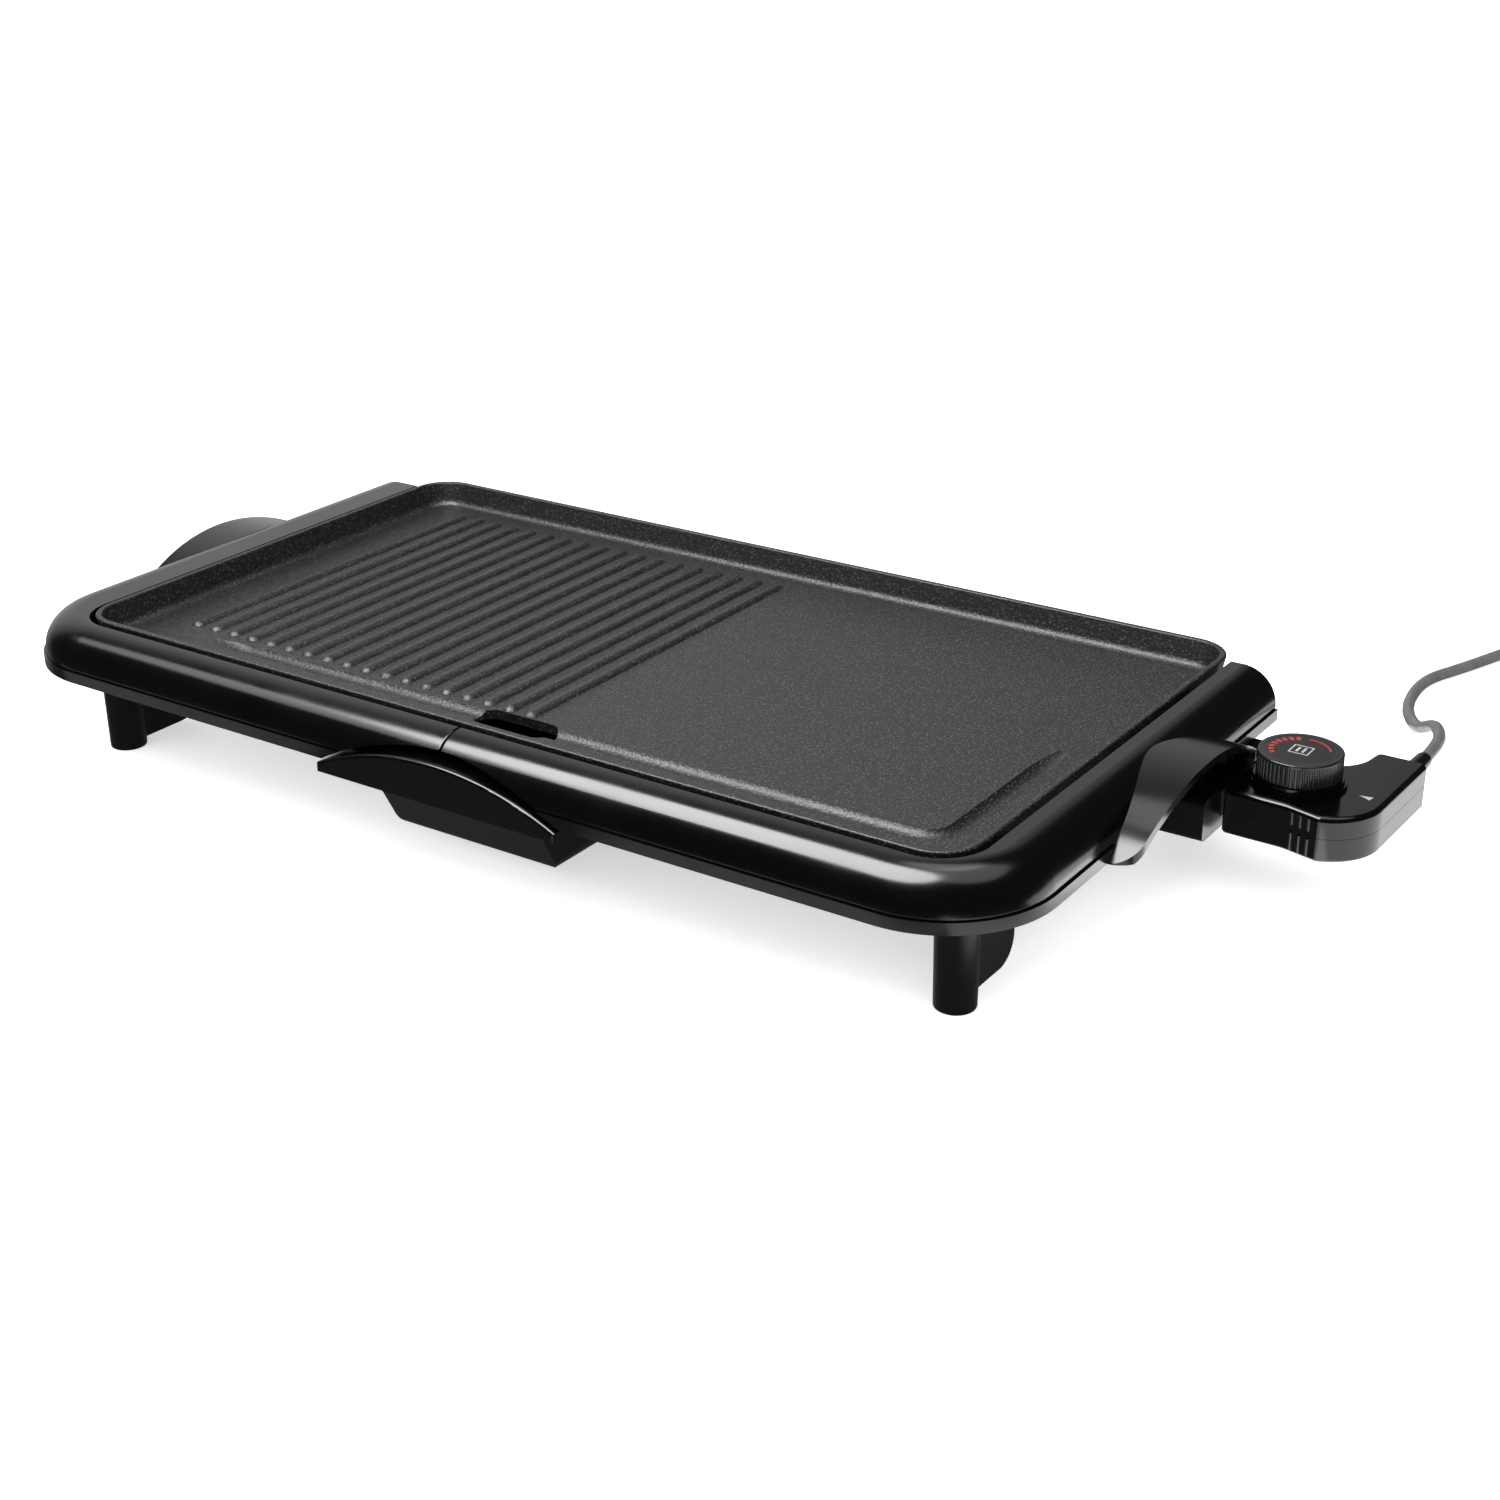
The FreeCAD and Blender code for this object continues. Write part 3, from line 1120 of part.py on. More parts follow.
def all_pieces():
    front_leg = leg(FRONT_LEG_Y, 1, FRONT_FIN_LENGTH)
    rear_leg = leg(REAR_LEG_Y, -1, REAR_FIN_LENGTH)
    cord, cord_length, cord_radii = tube(CORD_ROUTE, CORD_RADIUS)
    section = math.pi * CORD_RADIUS ** 2
    print("cord radii", [round(radius, 1) for radius in cord_radii])
    print("cord volume over section times length", round(cord.Volume / (section * cord_length), 4))
    print("free cord", round(cord_length, 1), "tail", TAIL_LENGTH)
    return {
        "cooking_plate": cooking_plate(),
        "heating_element": heating_element(),
        "terminal_pins": terminal_pins(),
        "terminal_holder": terminal_holder(),
        "element_clamps": element_clamps(),
        "clamp_screws": clamp_screws(),
        "base_left": mirrored_x(base_half(LEFT_WIDENING)),
        "base_right": base_right(),
        "left_handle": mirrored_x(handle(LEFT_WIDENING)),
        "right_handle": handle(0.0),
        "handle_screws": handle_screws(),
        "leg_front_left": mirrored_x(front_leg),
        "leg_front_right": front_leg,
        "leg_rear_left": mirrored_x(rear_leg),
        "leg_rear_right": rear_leg,
        "leg_screws": leg_screws(),
        "tray_guide": tray_guide(),
        "guide_screws": guide_screws(),
        "drip_tray": drip_tray(),
        "tray_front": tray_front(),
        "tray_screws": tray_screws(),
        "socket_housing": socket_housing(),
        "socket_screws": socket_screws(),
        "control_top_shell": control_top_shell(),
        "control_bottom_shell": control_bottom_shell(),
        "shell_screws": shell_screws(),
        "contact_block": contact_block(),
        "contact_sleeves": contact_sleeves(),
        "sensor_rod": sensor_rod(),
        "thermostat_frame": thermostat_frame(),
        "blade_insulators": blade_insulators(),
        "bimetal_blade": bimetal_blade(),
        "contact_leaf": contact_leaf(),
        "shaft_bushing": shaft_bushing(),
        "dial_bezel": dial_bezel(),
        "knob": knob(),
        "dial_disc": dial_disc(),
        "knob_shaft": knob_shaft(),
        "strain_relief": strain_relief(),
        "power_cord": cord,
        "cord_coil": cord_coil(),
        "coil_tie": coil_tie(),
        "cord_tail": cord_tail(),
        "plug_body": plug_body(),
        "plug_blades": plug_blades(),
    }


def main():
    os.makedirs("parts", exist_ok=True)
    shift = footprint_middle() * -1.0
    for name, shape in all_pieces().items():
        placed = shape.copy()
        placed.translate(shift)
        placed.exportStep("parts/" + name + ".step")
        print(name, len(placed.Solids), "valid" if placed.isValid() else "NOT VALID",
              round(placed.Volume / 1000.0, 2), "cm3")


if __name__ == "__main__":
    main()
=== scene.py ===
"""Looks for the electric griddle: its materials, cord, dial print, lights, floor and camera.

Places are in metres. Those given in millimetres are measured from the middle of the plate, with the
table at z = 0, and at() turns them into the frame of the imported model.
"""
import json
import math

import bmesh
import bpy
from mathutils import Matrix, Vector


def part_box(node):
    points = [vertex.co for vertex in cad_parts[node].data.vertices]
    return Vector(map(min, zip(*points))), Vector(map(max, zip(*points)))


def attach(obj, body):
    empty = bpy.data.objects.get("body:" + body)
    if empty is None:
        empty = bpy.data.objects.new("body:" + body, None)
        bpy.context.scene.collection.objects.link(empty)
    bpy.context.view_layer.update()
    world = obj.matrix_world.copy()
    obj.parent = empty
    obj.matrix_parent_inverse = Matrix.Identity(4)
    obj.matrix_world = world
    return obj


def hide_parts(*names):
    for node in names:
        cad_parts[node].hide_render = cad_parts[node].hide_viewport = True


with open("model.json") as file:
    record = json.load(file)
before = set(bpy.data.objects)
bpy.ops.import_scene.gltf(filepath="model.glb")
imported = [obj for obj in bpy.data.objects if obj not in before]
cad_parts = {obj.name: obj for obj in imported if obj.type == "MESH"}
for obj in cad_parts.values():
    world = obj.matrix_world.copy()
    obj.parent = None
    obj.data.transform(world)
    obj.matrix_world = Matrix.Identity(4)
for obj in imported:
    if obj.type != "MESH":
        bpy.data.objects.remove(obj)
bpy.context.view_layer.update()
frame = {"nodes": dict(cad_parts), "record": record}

NODES = frame["nodes"]

# ---------------------------------------------------------------- places and sizes, in millimetres
CORD_RADIUS = 3.25
RELIEF_END = (371.0, 147.0, 41.0)
CORD_ROUTE = [
    RELIEF_END,
    (371.0, 171.0, 41.0),
    (358.5, 211.0, 31.0),
    (344.5, 246.0, 18.5),
    (329.0, 271.0, 3.25),
    (316.0, 290.5, 3.25),
    (309.3, 317.0, 3.25),
    (308.6, 346.0, 3.25),
    (320.0, 373.0, 3.25),
    (332.0, 407.0, 3.25),
    (345.5, 442.5, 4.05),
]
COIL_OUTER_TURN = 39.25
COIL_TURNS = 2.44
COIL_CLIMB_START = 1.10
COIL_CLIMB_END = 1.35
COIL_LOW = 4.05
COIL_HIGH = 10.55
POINTS_PER_TURN = 16
TAIL_LENGTH = 36.0
TAIL_INSET = 0.1

KNOB_CENTRE = (336.4, 66.3)
DISC_TOP = 67.9
BODY_TOP = 52.0
PRINT_THICKNESS = 0.06
HEAT_SCALE_RADIUS = 15.4
HEAT_SCALE_DEPTH = 4.0
HEAT_SCALE_NARROWING = 0.25
HEAT_SEGMENT_TAPER = 0.3
LOW_ARC_INNER = 13.2
LOW_ARC_OUTER = 14.2
EDGE_RING_INNER = 16.6
EDGE_RING_OUTER = 16.75
EMBLEM_HALF = 5.0
EMBLEM_LINE = 0.7
EMBLEM_BAR_PLACE = 1.5
EMBLEM_BAR_HALF_WIDTH = 0.6
EMBLEM_BAR_HALF_HEIGHT = 2.8
POINTER_CORNERS = [(366.9, 65.7), (373.3, 66.9), (372.9, 62.9)]

CAMERA_PLACE = (685.8, -921.2, 516.9)
CAMERA_SENSOR = 36.0
CAMERA_LENS = 55.97

# ---------------------------------------------------------------- angles in degrees, counts and shares
HEAT_SEGMENTS = 8
HEAT_SCALE_START = 112.0
HEAT_SCALE_SWEEP = 118.0
HEAT_SEGMENT_SHARE = 0.6
LOW_ARC_START = 22.0
LOW_ARC_END = 96.0
EDGE_RING_PIECES = 4
EDGE_RING_GAP = 0.1
ARC_STEP = 3.0

CAMERA_AZIMUTH = 33.98
CAMERA_ELEVATION = 23.81
CAMERA_ROLL = -0.31
SKY_TILT = 12.0
SKY_LEAN = -8.0
SKY_SPREAD = 150.0

# ---------------------------------------------------------------- the set, in metres
CAMERA_REACH = 50.0
FLOOR_HALF = 12.0
DOME_RADIUS = 11.0
TABLE_PANEL_HEIGHT = 0.002
DOWN = Vector((0.0, 0.0, -1.0))
UP = Vector((0.0, 0.0, 1.0))

# ---------------------------------------------------------------- strengths and tones
SKY_POWER = 6.0
FLOOR_GLOW = 0.55
DOME_GLOW = 0.95
ROOM_GLOW = 0.04
NOISE_LOW = 0.3
NOISE_HIGH = 0.7


def plate_middle():
    low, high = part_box("cooking_plate")
    return (low + high) / 2.0


MIDDLE = plate_middle()


def at(x, y, z):
    """A place given in millimetres from the middle of the plate, in the model's frame in metres."""
    return Vector((MIDDLE.x + x / 1000.0, MIDDLE.y + y / 1000.0, z / 1000.0))


# ---------------------------------------------------------------- camera
def make_camera():
    azimuth = math.radians(CAMERA_AZIMUTH)
    elevation = math.radians(CAMERA_ELEVATION)
    roll = math.radians(CAMERA_ROLL)
    right = Vector((math.cos(azimuth), math.sin(azimuth), 0.0))
    back = Vector((math.sin(azimuth) * math.cos(elevation),
                   -math.cos(azimuth) * math.cos(elevation),
                   math.sin(elevation)))
    up = back.cross(right)
    rolled_right = math.cos(roll) * right + math.sin(roll) * up
    rolled_up = math.cos(roll) * up - math.sin(roll) * right
    data = bpy.data.cameras.new("camera")
    data.sensor_width = CAMERA_SENSOR
    data.lens = CAMERA_LENS
    data.clip_end = CAMERA_REACH
    camera = bpy.data.objects.new("camera", data)
    place = at(*CAMERA_PLACE)
    camera.matrix_world = Matrix((
        (rolled_right.x, rolled_up.x, back.x, place.x),
        (rolled_right.y, rolled_up.y, back.y, place.y),
        (rolled_right.z, rolled_up.z, back.z, place.z),
        (0.0, 0.0, 0.0, 1.0),
    ))
    bpy.context.scene.collection.objects.link(camera)
    bpy.context.scene.camera = camera


# ---------------------------------------------------------------- cord
def turned(heading, turns):
    """A level direction, turned to the right by a number of turns."""
    return Matrix.Rotation(-2.0 * math.pi * turns, 3, "Z") @ heading


def coil_height(turns):
    climb = (turns - COIL_CLIMB_START) / (COIL_CLIMB_END - COIL_CLIMB_START)
    return COIL_LOW + (COIL_HIGH - COIL_LOW) * min(max(climb, 0.0), 1.0)


def coil_radius(turns):
    """The lower layer winds in, and the upper layer winds out again on top of it."""
    inward = min(turns, COIL_CLIMB_START)
    outward = max(turns - COIL_CLIMB_END, 0.0)
    return COIL_OUTER_TURN - 2.0 * CORD_RADIUS * (inward - outward)


def coil_points():
    """The coil's turns and the straight tail that leaves it for the plug."""
    joint = Vector(CORD_ROUTE[-1])
    heading = joint - Vector(CORD_ROUTE[-2])
    heading.z = 0.0
    heading.normalize()
    outward = turned(heading, -0.25)
    centre = joint - outward * COIL_OUTER_TURN
    outside = 1.0 / math.cos(math.pi / POINTS_PER_TURN)
    points = []
    for number in range(1, int(COIL_TURNS * POINTS_PER_TURN) + 1):
        turns = number / POINTS_PER_TURN
        point = centre + turned(outward, turns) * coil_radius(turns) * outside
        point.z = coil_height(turns)
        points.append(point)
    leaving = turned(heading, COIL_TURNS)
    start = centre + turned(outward, COIL_TURNS) * (COIL_OUTER_TURN - TAIL_INSET)
    start.z = COIL_HIGH
    return points + [start, start + leaving * TAIL_LENGTH]


def make_cord():
    """The cord as one tube. Blender adds each point's radius to a curve's box, so the points carry
    the cord's radius and the bevel is 1.
    """
    data = bpy.data.curves.new("cord", "CURVE")
    data.dimensions = "3D"
    data.bevel_depth = 1.0
    data.bevel_resolution = 6
    data.resolution_u = 12
    data.use_fill_caps = True
    spline = data.splines.new("NURBS")
    points = [Vector(point) for point in CORD_ROUTE] + coil_points()
    spline.points.add(len(points) - 1)
    for control, point in zip(spline.points, points):
        control.co = (*at(*point), 1.0)
        control.radius = CORD_RADIUS / 1000.0
    spline.order_u = 3
    spline.use_endpoint_u = True
    cord = bpy.data.objects.new("cord", data)
    bpy.context.scene.collection.objects.link(cord)
    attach(cord, "control")
    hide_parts("power_cord", "cord_coil", "cord_tail")
    return cord


# ---------------------------------------------------------------- materials
class Surface:
    """A principled material and a few ways to vary it over the object."""

    def __init__(self, name, roughness, metallic=0.0, **constants):
        self.material = bpy.data.materials.new(name)
        self.material.use_nodes = True
        self.nodes = self.material.node_tree.nodes
        self.links = self.material.node_tree.links
        self.shader = self.nodes["Principled BSDF"]
        self.shader.inputs["Roughness"].default_value = roughness
        self.shader.inputs["Metallic"].default_value = metallic
        for socket, value in constants.items():
            self.shader.inputs[socket.replace("_", " ")].default_value = value
        self.coordinates = self.nodes.new("ShaderNodeTexCoord").outputs["Object"]

    def noise(self, size_mm, detail=3.0):
        """Noise whose features are about this many millimetres across."""
        node = self.nodes.new("ShaderNodeTexNoise")
        node.inputs["Scale"].default_value = 1000.0 / size_mm
        node.inputs["Detail"].default_value = detail
        self.links.new(self.coordinates, node.inputs["Vector"])
        return node.outputs["Fac"]

    def cells(self, size_mm):
        """Distance from the middles of scattered cells this many millimetres apart."""
        node = self.nodes.new("ShaderNodeTexVoronoi")
        node.inputs["Scale"].default_value = 1000.0 / size_mm
        self.links.new(self.coordinates, node.inputs["Vector"])
        return node.outputs["Distance"]

    def ramp(self, source, stops):
        """Turns a value into a colour or grey through (position, colour) stops."""
        node = self.nodes.new("ShaderNodeValToRGB")
        elements = node.color_ramp.elements
        elements[0].position, elements[0].color = stops[0][0], (*stops[0][1], 1.0)
        elements[1].position, elements[1].color = stops[-1][0], (*stops[-1][1], 1.0)
        for position, colour in stops[1:-1]:
            elements.new(position).color = (*colour, 1.0)
        self.links.new(source, node.inputs["Fac"])
        return node.outputs["Color"]

    def spread(self, source, low, high):
        """Maps the range where most of a noise lies to a low and a high value."""
        node = self.nodes.new("ShaderNodeMapRange")
        node.inputs["From Min"].default_value = NOISE_LOW
        node.inputs["From Max"].default_value = NOISE_HIGH
        node.inputs["To Min"].default_value = low
        node.inputs["To Max"].default_value = high
        self.links.new(source, node.inputs["Value"])
        return node.outputs["Result"]

    def colour(self, source, stops):
        self.links.new(self.ramp(source, stops), self.shader.inputs["Base Color"])

    def tones(self, source, dark, light):
        """Colours the surface from dark to light over the range where most of a noise lies."""
        self.colour(source, [(NOISE_LOW, dark), (NOISE_HIGH, light)])

    def roughness(self, source, low, high):
        self.links.new(self.spread(source, low, high), self.shader.inputs["Roughness"])

    def bump(self, source, height_mm):
        """Raises the surface by this much from the source's 0 to its 1."""
        node = self.nodes.new("ShaderNodeBump")
        node.inputs["Distance"].default_value = height_mm / 1000.0
        self.links.new(source, node.inputs["Height"])
        self.links.new(node.outputs["Normal"], self.shader.inputs["Normal"])


def grey(value):
    """A grey with a trace of blue."""
    return (value, value, value * 1.02)


def plate_coating():
    """Sprayed non-stick coating: dark grey, finely pebbled, with lighter flecks."""
    surface = Surface("plate_coating", 0.42)
    fleck = grey(0.12)
    coat = grey(0.007)
    hollow = grey(0.004)
    surface.colour(surface.cells(1.6), [(0.0, fleck), (0.3, coat), (1.0, hollow)])
    surface.roughness(surface.noise(14.0), 0.4, 0.44)
    surface.bump(surface.noise(1.7, 3.0), 0.36)
    return surface.material


def moulded_plastic(name, shade, roughness, texture_mm, texture_height_mm):
    """Moulded black plastic: even in colour, with a faint flow in its gloss and a fine texture."""
    surface = Surface(name, roughness, Specular_IOR_Level=0.5)
    surface.tones(surface.noise(25.0), grey(shade * 0.85), grey(shade * 1.15))
    surface.roughness(surface.noise(40.0), roughness * 0.85, roughness * 1.2)
    surface.bump(surface.noise(texture_mm, 2.0), texture_height_mm)
    return surface.material


def plated_metal(name, dark, light, roughness):
    """Metal with a fine grain in its gloss and tone."""
    surface = Surface(name, roughness, metallic=1.0)
    grain = surface.noise(1.2, 4.0)
    surface.tones(grain, dark, light)
    surface.roughness(grain, roughness * 0.8, roughness * 1.3)
    surface.bump(grain, 0.01)
    return surface.material


def element_sheath():
    """Steel sheath, browned by heat in patches."""
    surface = Surface("element_sheath", 0.4, metallic=0.9)
    surface.tones(surface.noise(30.0), (0.09, 0.07, 0.055), (0.22, 0.2, 0.17))
    surface.roughness(surface.noise(5.0), 0.35, 0.5)
    surface.bump(surface.noise(1.0), 0.02)
    return surface.material


def glazed_ceramic():
    """Cream ceramic, mottled and slightly uneven."""
    surface = Surface("ceramic", 0.5)
    surface.tones(surface.noise(4.0), (0.66, 0.6, 0.48), (0.78, 0.73, 0.62))
    surface.bump(surface.noise(0.6), 0.04)
    return surface.material


def cord_rubber_painted_sheen():
    """Soft rubber sheath, black in truth but painted grey all over as a painted sheen from the pale table
    it reflects; unevenly dull.
    """
    surface = Surface("cord_rubber_painted_sheen", 0.42, Specular_IOR_Level=0.5)
    # painted sheen: these greys lighten the black cord all over, standing in for the pale table it reflects
    surface.tones(surface.noise(6.0), grey(0.08), grey(0.11))
    surface.roughness(surface.noise(9.0), 0.38, 0.5)
    surface.bump(surface.noise(0.8), 0.02)
    return surface.material


def print_ink(name, dark, light):
    """Pad-printed ink, slightly uneven where it is thin."""
    surface = Surface(name, 0.45)
    surface.tones(surface.noise(0.8), dark, light)
    surface.bump(surface.noise(0.5), 0.01)
    return surface.material


def stage_paint(name, glow):
    """White paint that also shines a little, so that nothing throws a hard shadow on it."""
    surface = Surface(name, 0.6, Specular_IOR_Level=0.2, Emission_Strength=glow)
    surface.shader.inputs["Emission Color"].default_value = (1.0, 1.0, 1.0, 1.0)
    surface.tones(surface.noise(300.0), (0.86, 0.86, 0.86), (0.9, 0.9, 0.9))
    return surface.material


def dress(node_name, finish):
    materials = NODES[node_name].data.materials
    materials.clear()
    materials.append(finish)


def dress_nodes():
    """Gives every CAD node the finish that its material slot in the record names.

    The strain relief shares the cord's slot, but it is satin black where the cord is painted grey as a
    painted sheen.
    """
    finishes = {
        "plate_coating": plate_coating(),
        "element_steel": element_sheath(),
        "nickel": plated_metal("nickel", (0.55, 0.53, 0.49), (0.72, 0.7, 0.66), 0.22),
        "ceramic": glazed_ceramic(),
        "zinc_steel": plated_metal("zinc_steel", (0.42, 0.44, 0.47), (0.6, 0.62, 0.65), 0.32),
        "base_black": moulded_plastic("gloss_black", 0.0008, 0.17, 3.0, 0.003),
        "leg_black": moulded_plastic("satin_black", 0.0015, 0.3, 0.7, 0.015),
        "tray_black": moulded_plastic("tray_enamel", 0.0008, 0.24, 2.5, 0.01),
        "control_black": moulded_plastic("control_black", 0.0008, 0.14, 2.0, 0.004),
        "ceramic_dark": moulded_plastic("phenolic", 0.03, 0.5, 0.8, 0.03),
        "bimetal": plated_metal("bimetal", (0.5, 0.44, 0.3), (0.66, 0.6, 0.44), 0.3),
        "brass": plated_metal("brass", (0.6, 0.44, 0.2), (0.8, 0.63, 0.33), 0.28),
        "knob_black": moulded_plastic("knob_black", 0.008, 0.2, 0.8, 0.01),
        "dial_face": moulded_plastic("dial_face", 0.001, 0.22, 0.8, 0.008),
        "cord_black": cord_rubber_painted_sheen(),
        "tie_plastic": moulded_plastic("tie_plastic", 0.03, 0.5, 1.0, 0.02),
    }
    for part in frame["record"]["subparts"]:
        dress(part["node"], finishes[part["material_slot"]])
    dress("strain_relief", finishes["leg_black"])
    return finishes


# ---------------------------------------------------------------- printed marks
def flat_piece(name, outlines, height, material, body):
    """A thin printed layer: each outline is a closed list of (x, y) in millimetres."""
    mesh = bpy.data.meshes.new(name)
    shape = bmesh.new()
    for outline in outlines:
        corners = [shape.verts.new(at(x, y, height)) for x, y in outline]
        shape.faces.new(corners)
    bmesh.ops.recalc_face_normals(shape, faces=shape.faces)
    raised = bmesh.ops.extrude_face_region(shape, geom=shape.faces[:])
    lifted = [item for item in raised["geom"] if isinstance(item, bmesh.types.BMVert)]
    bmesh.ops.translate(shape, verts=lifted, vec=(0.0, 0.0, PRINT_THICKNESS / 1000.0))
    bmesh.ops.recalc_face_normals(shape, faces=shape.faces)
    shape.to_mesh(mesh)
    shape.free()
    mesh.materials.append(material)
    piece = bpy.data.objects.new(name, mesh)
    bpy.context.scene.collection.objects.link(piece)
    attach(piece, body)


def dial_point(radius, degrees):
    """A point round the knob's middle; angles run anticlockwise from +X."""
    angle = math.radians(degrees)
    return (KNOB_CENTRE[0] + radius * math.cos(angle), KNOB_CENTRE[1] + radius * math.sin(angle))


def arc_points(radius, start, end):
    steps = math.ceil(abs(end - start) / ARC_STEP)
    return [dial_point(radius, start + (end - start) * number / steps) for number in range(steps + 1)]


def ring_sector(inner, outer, start, end):
    return arc_points(outer, start, end) + arc_points(inner, end, start)


def heat_segment(start, end, depth):
    """One mark of the scale: round outside, and cut straight inside, a little less deep at its end."""
    inner_start = dial_point(HEAT_SCALE_RADIUS - depth, start)
    inner_end = dial_point(HEAT_SCALE_RADIUS - depth + HEAT_SEGMENT_TAPER, end)
    return arc_points(HEAT_SCALE_RADIUS, start, end) + [inner_end, inner_start]


def heat_scale():
    """Marks round part of the dial, each a little less deep than the one before."""
    pitch = HEAT_SCALE_SWEEP / HEAT_SEGMENTS
    outlines = []
    for number in range(HEAT_SEGMENTS):
        start = HEAT_SCALE_START + number * pitch
        depth = HEAT_SCALE_DEPTH - HEAT_SCALE_NARROWING * number
        outlines.append(heat_segment(start, start + HEAT_SEGMENT_SHARE * pitch, depth))
    return outlines


def edge_ring():
    """A thin ring in pieces, as a flat face can't close round a hole."""
    sweep = 360.0 / EDGE_RING_PIECES
    outlines = []
    for number in range(EDGE_RING_PIECES):
        start = number * sweep
        outlines.append(ring_sector(EDGE_RING_INNER, EDGE_RING_OUTER, start, start + sweep - EDGE_RING_GAP))
    return outlines


def rectangle(left, right, low, high):
    return [(left, low), (right, low), (right, high), (left, high)]


def emblem():
    """A plain square frame round two upright bars."""
    x, y = KNOB_CENTRE
    reach = EMBLEM_HALF - EMBLEM_LINE
    outlines = []
    for side in (-1, 1):
        edge = side * EMBLEM_HALF
        inner = side * reach
        outlines.append(rectangle(x - EMBLEM_HALF, x + EMBLEM_HALF, y + edge, y + inner))
        outlines.append(rectangle(x + edge, x + inner, y - reach, y + reach))
        bar = x + side * EMBLEM_BAR_PLACE
        outlines.append(rectangle(bar - EMBLEM_BAR_HALF_WIDTH, bar + EMBLEM_BAR_HALF_WIDTH,
                                  y - EMBLEM_BAR_HALF_HEIGHT, y + EMBLEM_BAR_HALF_HEIGHT))
    return outlines


def dial_mark(name, outlines, ink):
    flat_piece(name, outlines, DISC_TOP, ink, "knob")


def make_print():
    red = print_ink("red_ink", (0.3, 0.006, 0.008), (0.4, 0.012, 0.014))
    white = print_ink("white_ink", (0.3, 0.3, 0.3), (0.4, 0.4, 0.4))
    grey_ink = print_ink("grey_ink", (0.04, 0.04, 0.04), (0.07, 0.07, 0.07))
    dial_mark("dial_heat_scale", heat_scale(), red)
    dial_mark("dial_low_arc", [ring_sector(LOW_ARC_INNER, LOW_ARC_OUTER, LOW_ARC_START, LOW_ARC_END)], red)
    dial_mark("dial_edge_ring", edge_ring(), grey_ink)
    dial_mark("dial_emblem", emblem(), white)
    flat_piece("body_pointer", [POINTER_CORNERS], BODY_TOP, white, "control")


# ---------------------------------------------------------------- floor and lights
def set_piece(name, shape, glow):
    """A painted piece of the set, which no glossy part reflects."""
    mesh = bpy.data.meshes.new(name)
    shape.to_mesh(mesh)
    shape.free()
    mesh.materials.append(stage_paint(name + "_paint", glow))
    piece = bpy.data.objects.new(name, mesh)
    bpy.context.scene.collection.objects.link(piece)
    piece.visible_glossy = False
    return piece


def make_floor():
    shape = bmesh.new()
    bmesh.ops.create_grid(shape, x_segments=1, y_segments=1, size=FLOOR_HALF)
    floor = set_piece("floor", shape, FLOOR_GLOW)


def make_backdrop():
    """A pale dome round the set. It lights nothing, throws no shadow and isn't reflected."""
    shape = bmesh.new()
    bmesh.ops.create_uvsphere(shape, u_segments=48, v_segments=24, radius=DOME_RADIUS)
    backdrop = set_piece("backdrop", shape, DOME_GLOW)
    backdrop.visible_diffuse = False
    backdrop.visible_shadow = False


def soft_box(name, place, facing, width, depth, power):
    """A studio panel that only reflections show, so that the floor stays evenly white."""
    data = bpy.data.lights.new(name, "AREA")
    data.shape = "ELLIPSE"
    data.size = width
    data.size_y = depth
    data.energy = power
    light = bpy.data.objects.new(name, data)
    light.location = place
    light.rotation_euler = facing.to_track_quat("-Z", "Y").to_euler()
    light.visible_diffuse = False
    light.visible_camera = False
    bpy.context.scene.collection.objects.link(light)


def hang_panel(name, place, width, depth, power):
    soft_box(name, place, DOWN, width, depth, power)


def lay_panel(name, x, y, width, depth, power):
    """A panel on the table, which stands for the light that the table throws back up."""
    soft_box(name, (x, y, TABLE_PANEL_HEIGHT), UP, width, depth, power)


def make_sky():
    """A very wide sun that lights the set evenly and isn't reflected."""
    data = bpy.data.lights.new("sky", "SUN")
    data.energy = SKY_POWER
    data.angle = math.radians(SKY_SPREAD)
    sky = bpy.data.objects.new("sky", data)
    sky.rotation_euler = (math.radians(SKY_TILT), math.radians(SKY_LEAN), 0.0)
    sky.visible_glossy = False
    bpy.context.scene.collection.objects.link(sky)


def make_lights():
    hang_panel("overhead", (-0.30, -0.46, 1.10), width=1.3, depth=0.9, power=43.0)
    hang_panel("overhead_left", (-1.15, -0.52, 1.10), width=0.8, depth=0.5, power=3.0)
    hang_panel("overhead_right", (0.52, 0.05, 1.16), width=1.0, depth=1.0, power=4.0)
    hang_panel("overhead_back", (0.02, 0.32, 1.15), width=0.6, depth=0.5, power=1.7)
    lay_panel("table_front_left", -0.34, -0.245, width=0.30, depth=0.035, power=0.016)
    lay_panel("table_front_right", 0.16, -0.245, width=0.34, depth=0.035, power=0.024)
    lay_panel("table_corner", 0.335, -0.09, width=0.08, depth=0.42, power=0.14)
    lay_panel("table_right", 0.42, 0.17, width=0.30, depth=0.46, power=0.66)
    make_sky()


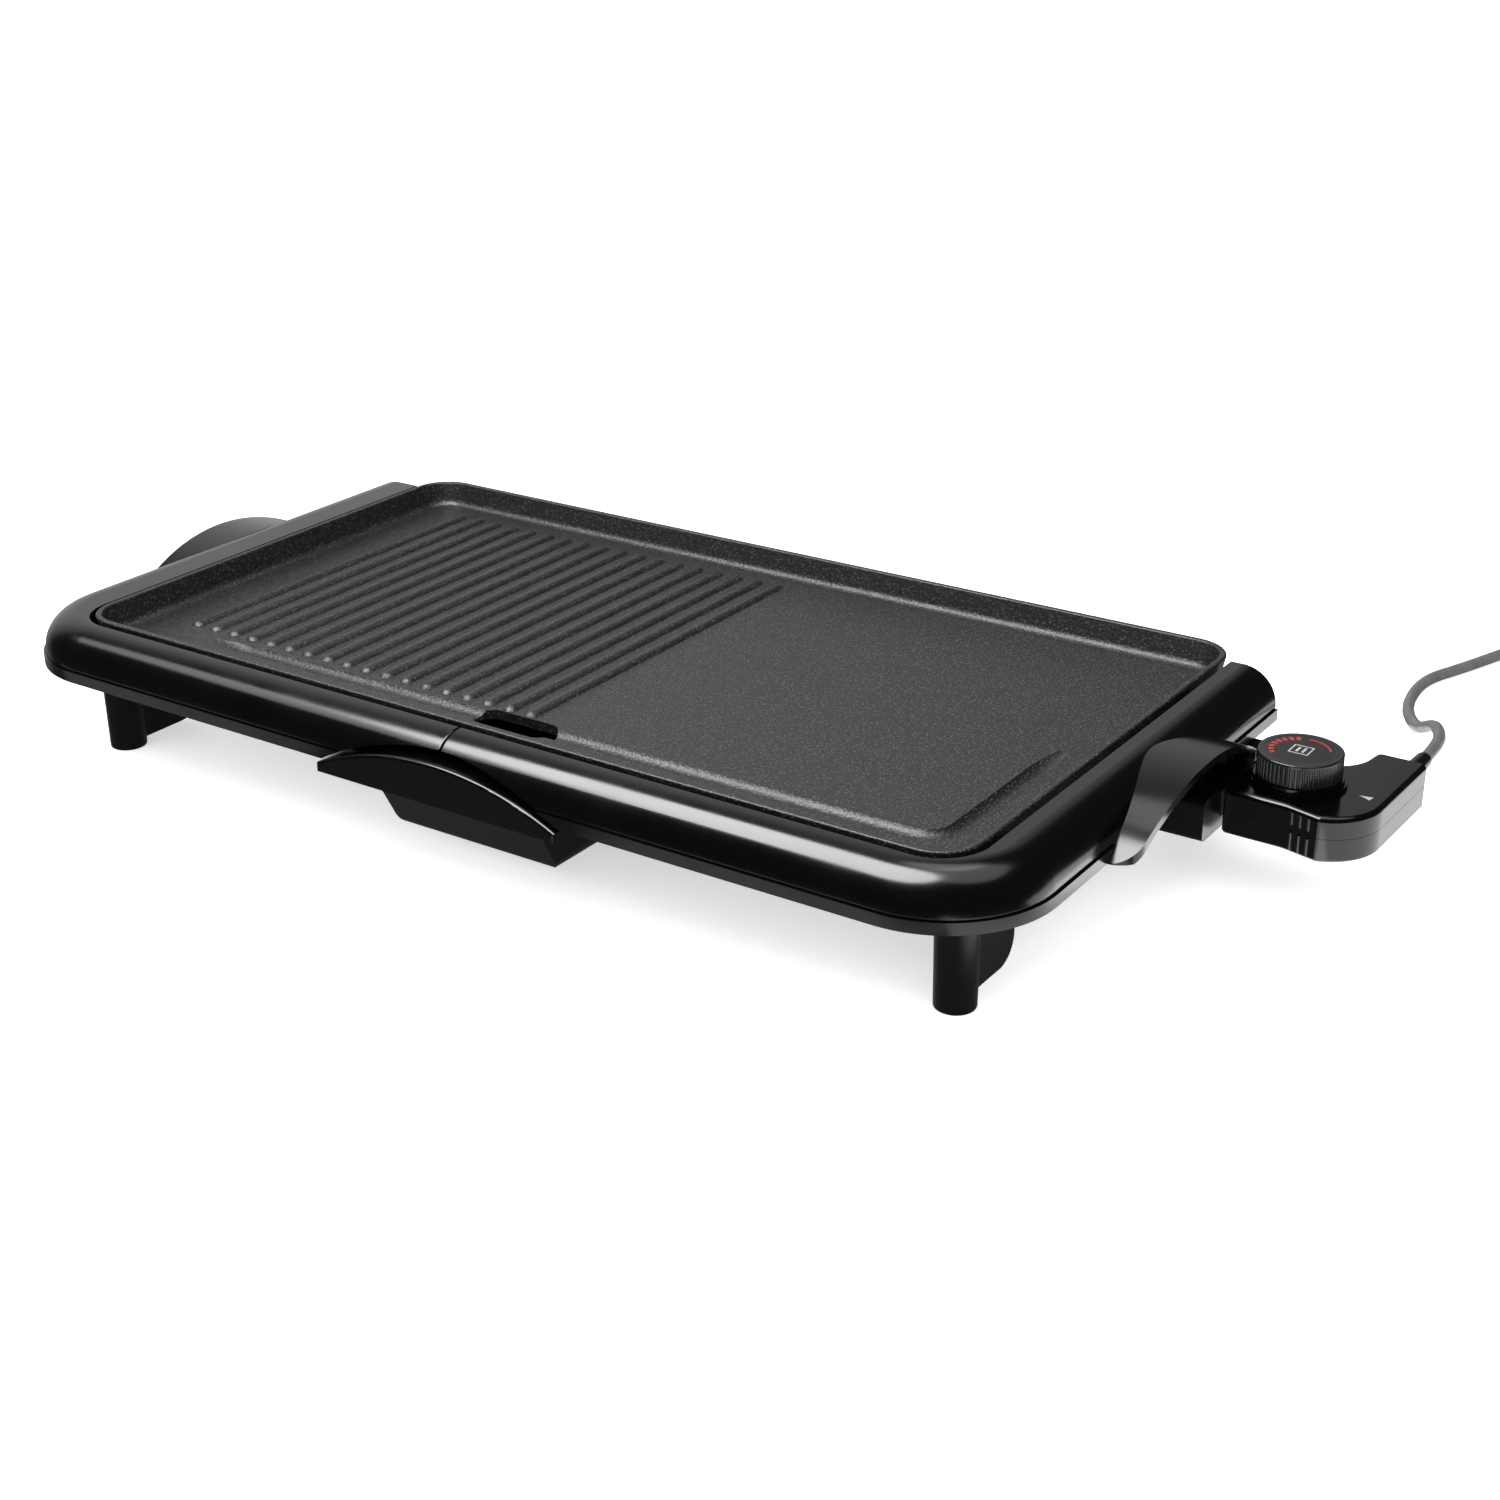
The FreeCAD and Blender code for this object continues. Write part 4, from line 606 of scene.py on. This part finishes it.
class Room:
    """A dim room that glossy parts reflect, with soft glows round a few directions."""

    def __init__(self):
        world = bpy.data.worlds.new("studio")
        bpy.context.scene.world = world
        world.use_nodes = True
        self.nodes = world.node_tree.nodes
        self.links = world.node_tree.links
        self.direction = self.nodes.new("ShaderNodeTexCoord").outputs["Generated"]
        self.total = None

    def glow(self, direction, edge, full, strength):
        """Light from round a direction: none at the cosine edge, all of it from the cosine full on."""
        towards = self.nodes.new("ShaderNodeVectorMath")
        towards.operation = "DOT_PRODUCT"
        towards.inputs[1].default_value = Vector(direction).normalized()
        self.links.new(self.direction, towards.inputs[0])
        fade = self.nodes.new("ShaderNodeMapRange")
        fade.interpolation_type = "SMOOTHSTEP"
        fade.inputs["From Min"].default_value = edge
        fade.inputs["From Max"].default_value = full
        fade.inputs["To Min"].default_value = 0.0
        fade.inputs["To Max"].default_value = strength
        self.links.new(towards.outputs["Value"], fade.inputs["Value"])
        self.add(fade.outputs["Result"])

    def add(self, source):
        if self.total:
            total = self.nodes.new("ShaderNodeMath")
            self.links.new(self.total, total.inputs[0])
            self.links.new(source, total.inputs[1])
            source = total.outputs["Value"]
        self.total = source

    def finish(self, everywhere):
        """Adds the light that comes from all round, and hands the sum to the world."""
        total = self.nodes.new("ShaderNodeMath")
        self.links.new(self.total, total.inputs[0])
        total.inputs[1].default_value = everywhere
        self.links.new(total.outputs["Value"], self.nodes["Background"].inputs["Strength"])
        self.nodes["Background"].inputs["Color"].default_value = (1.0, 1.0, 1.0, 1.0)


def make_world():
    """The table's glow from below, a bright end behind at the left, and a dim one low at the left."""
    room = Room()
    room.glow((0.0, 0.0, -1.0), edge=0.33, full=0.42, strength=0.1)
    room.glow((-0.74, 0.58, 0.34), edge=0.72, full=0.99, strength=0.7)
    room.glow((-0.88, 0.34, -0.34), edge=0.88, full=0.98, strength=0.15)
    room.finish(ROOM_GLOW)


def main():
    make_camera()
    cord = make_cord()
    finishes = dress_nodes()
    cord.data.materials.append(finishes["cord_black"])
    make_print()
    make_floor()
    make_backdrop()
    make_lights()
    make_world()
    bpy.context.scene.view_settings.view_transform = "Standard"
    bpy.context.view_layer.update()


main()
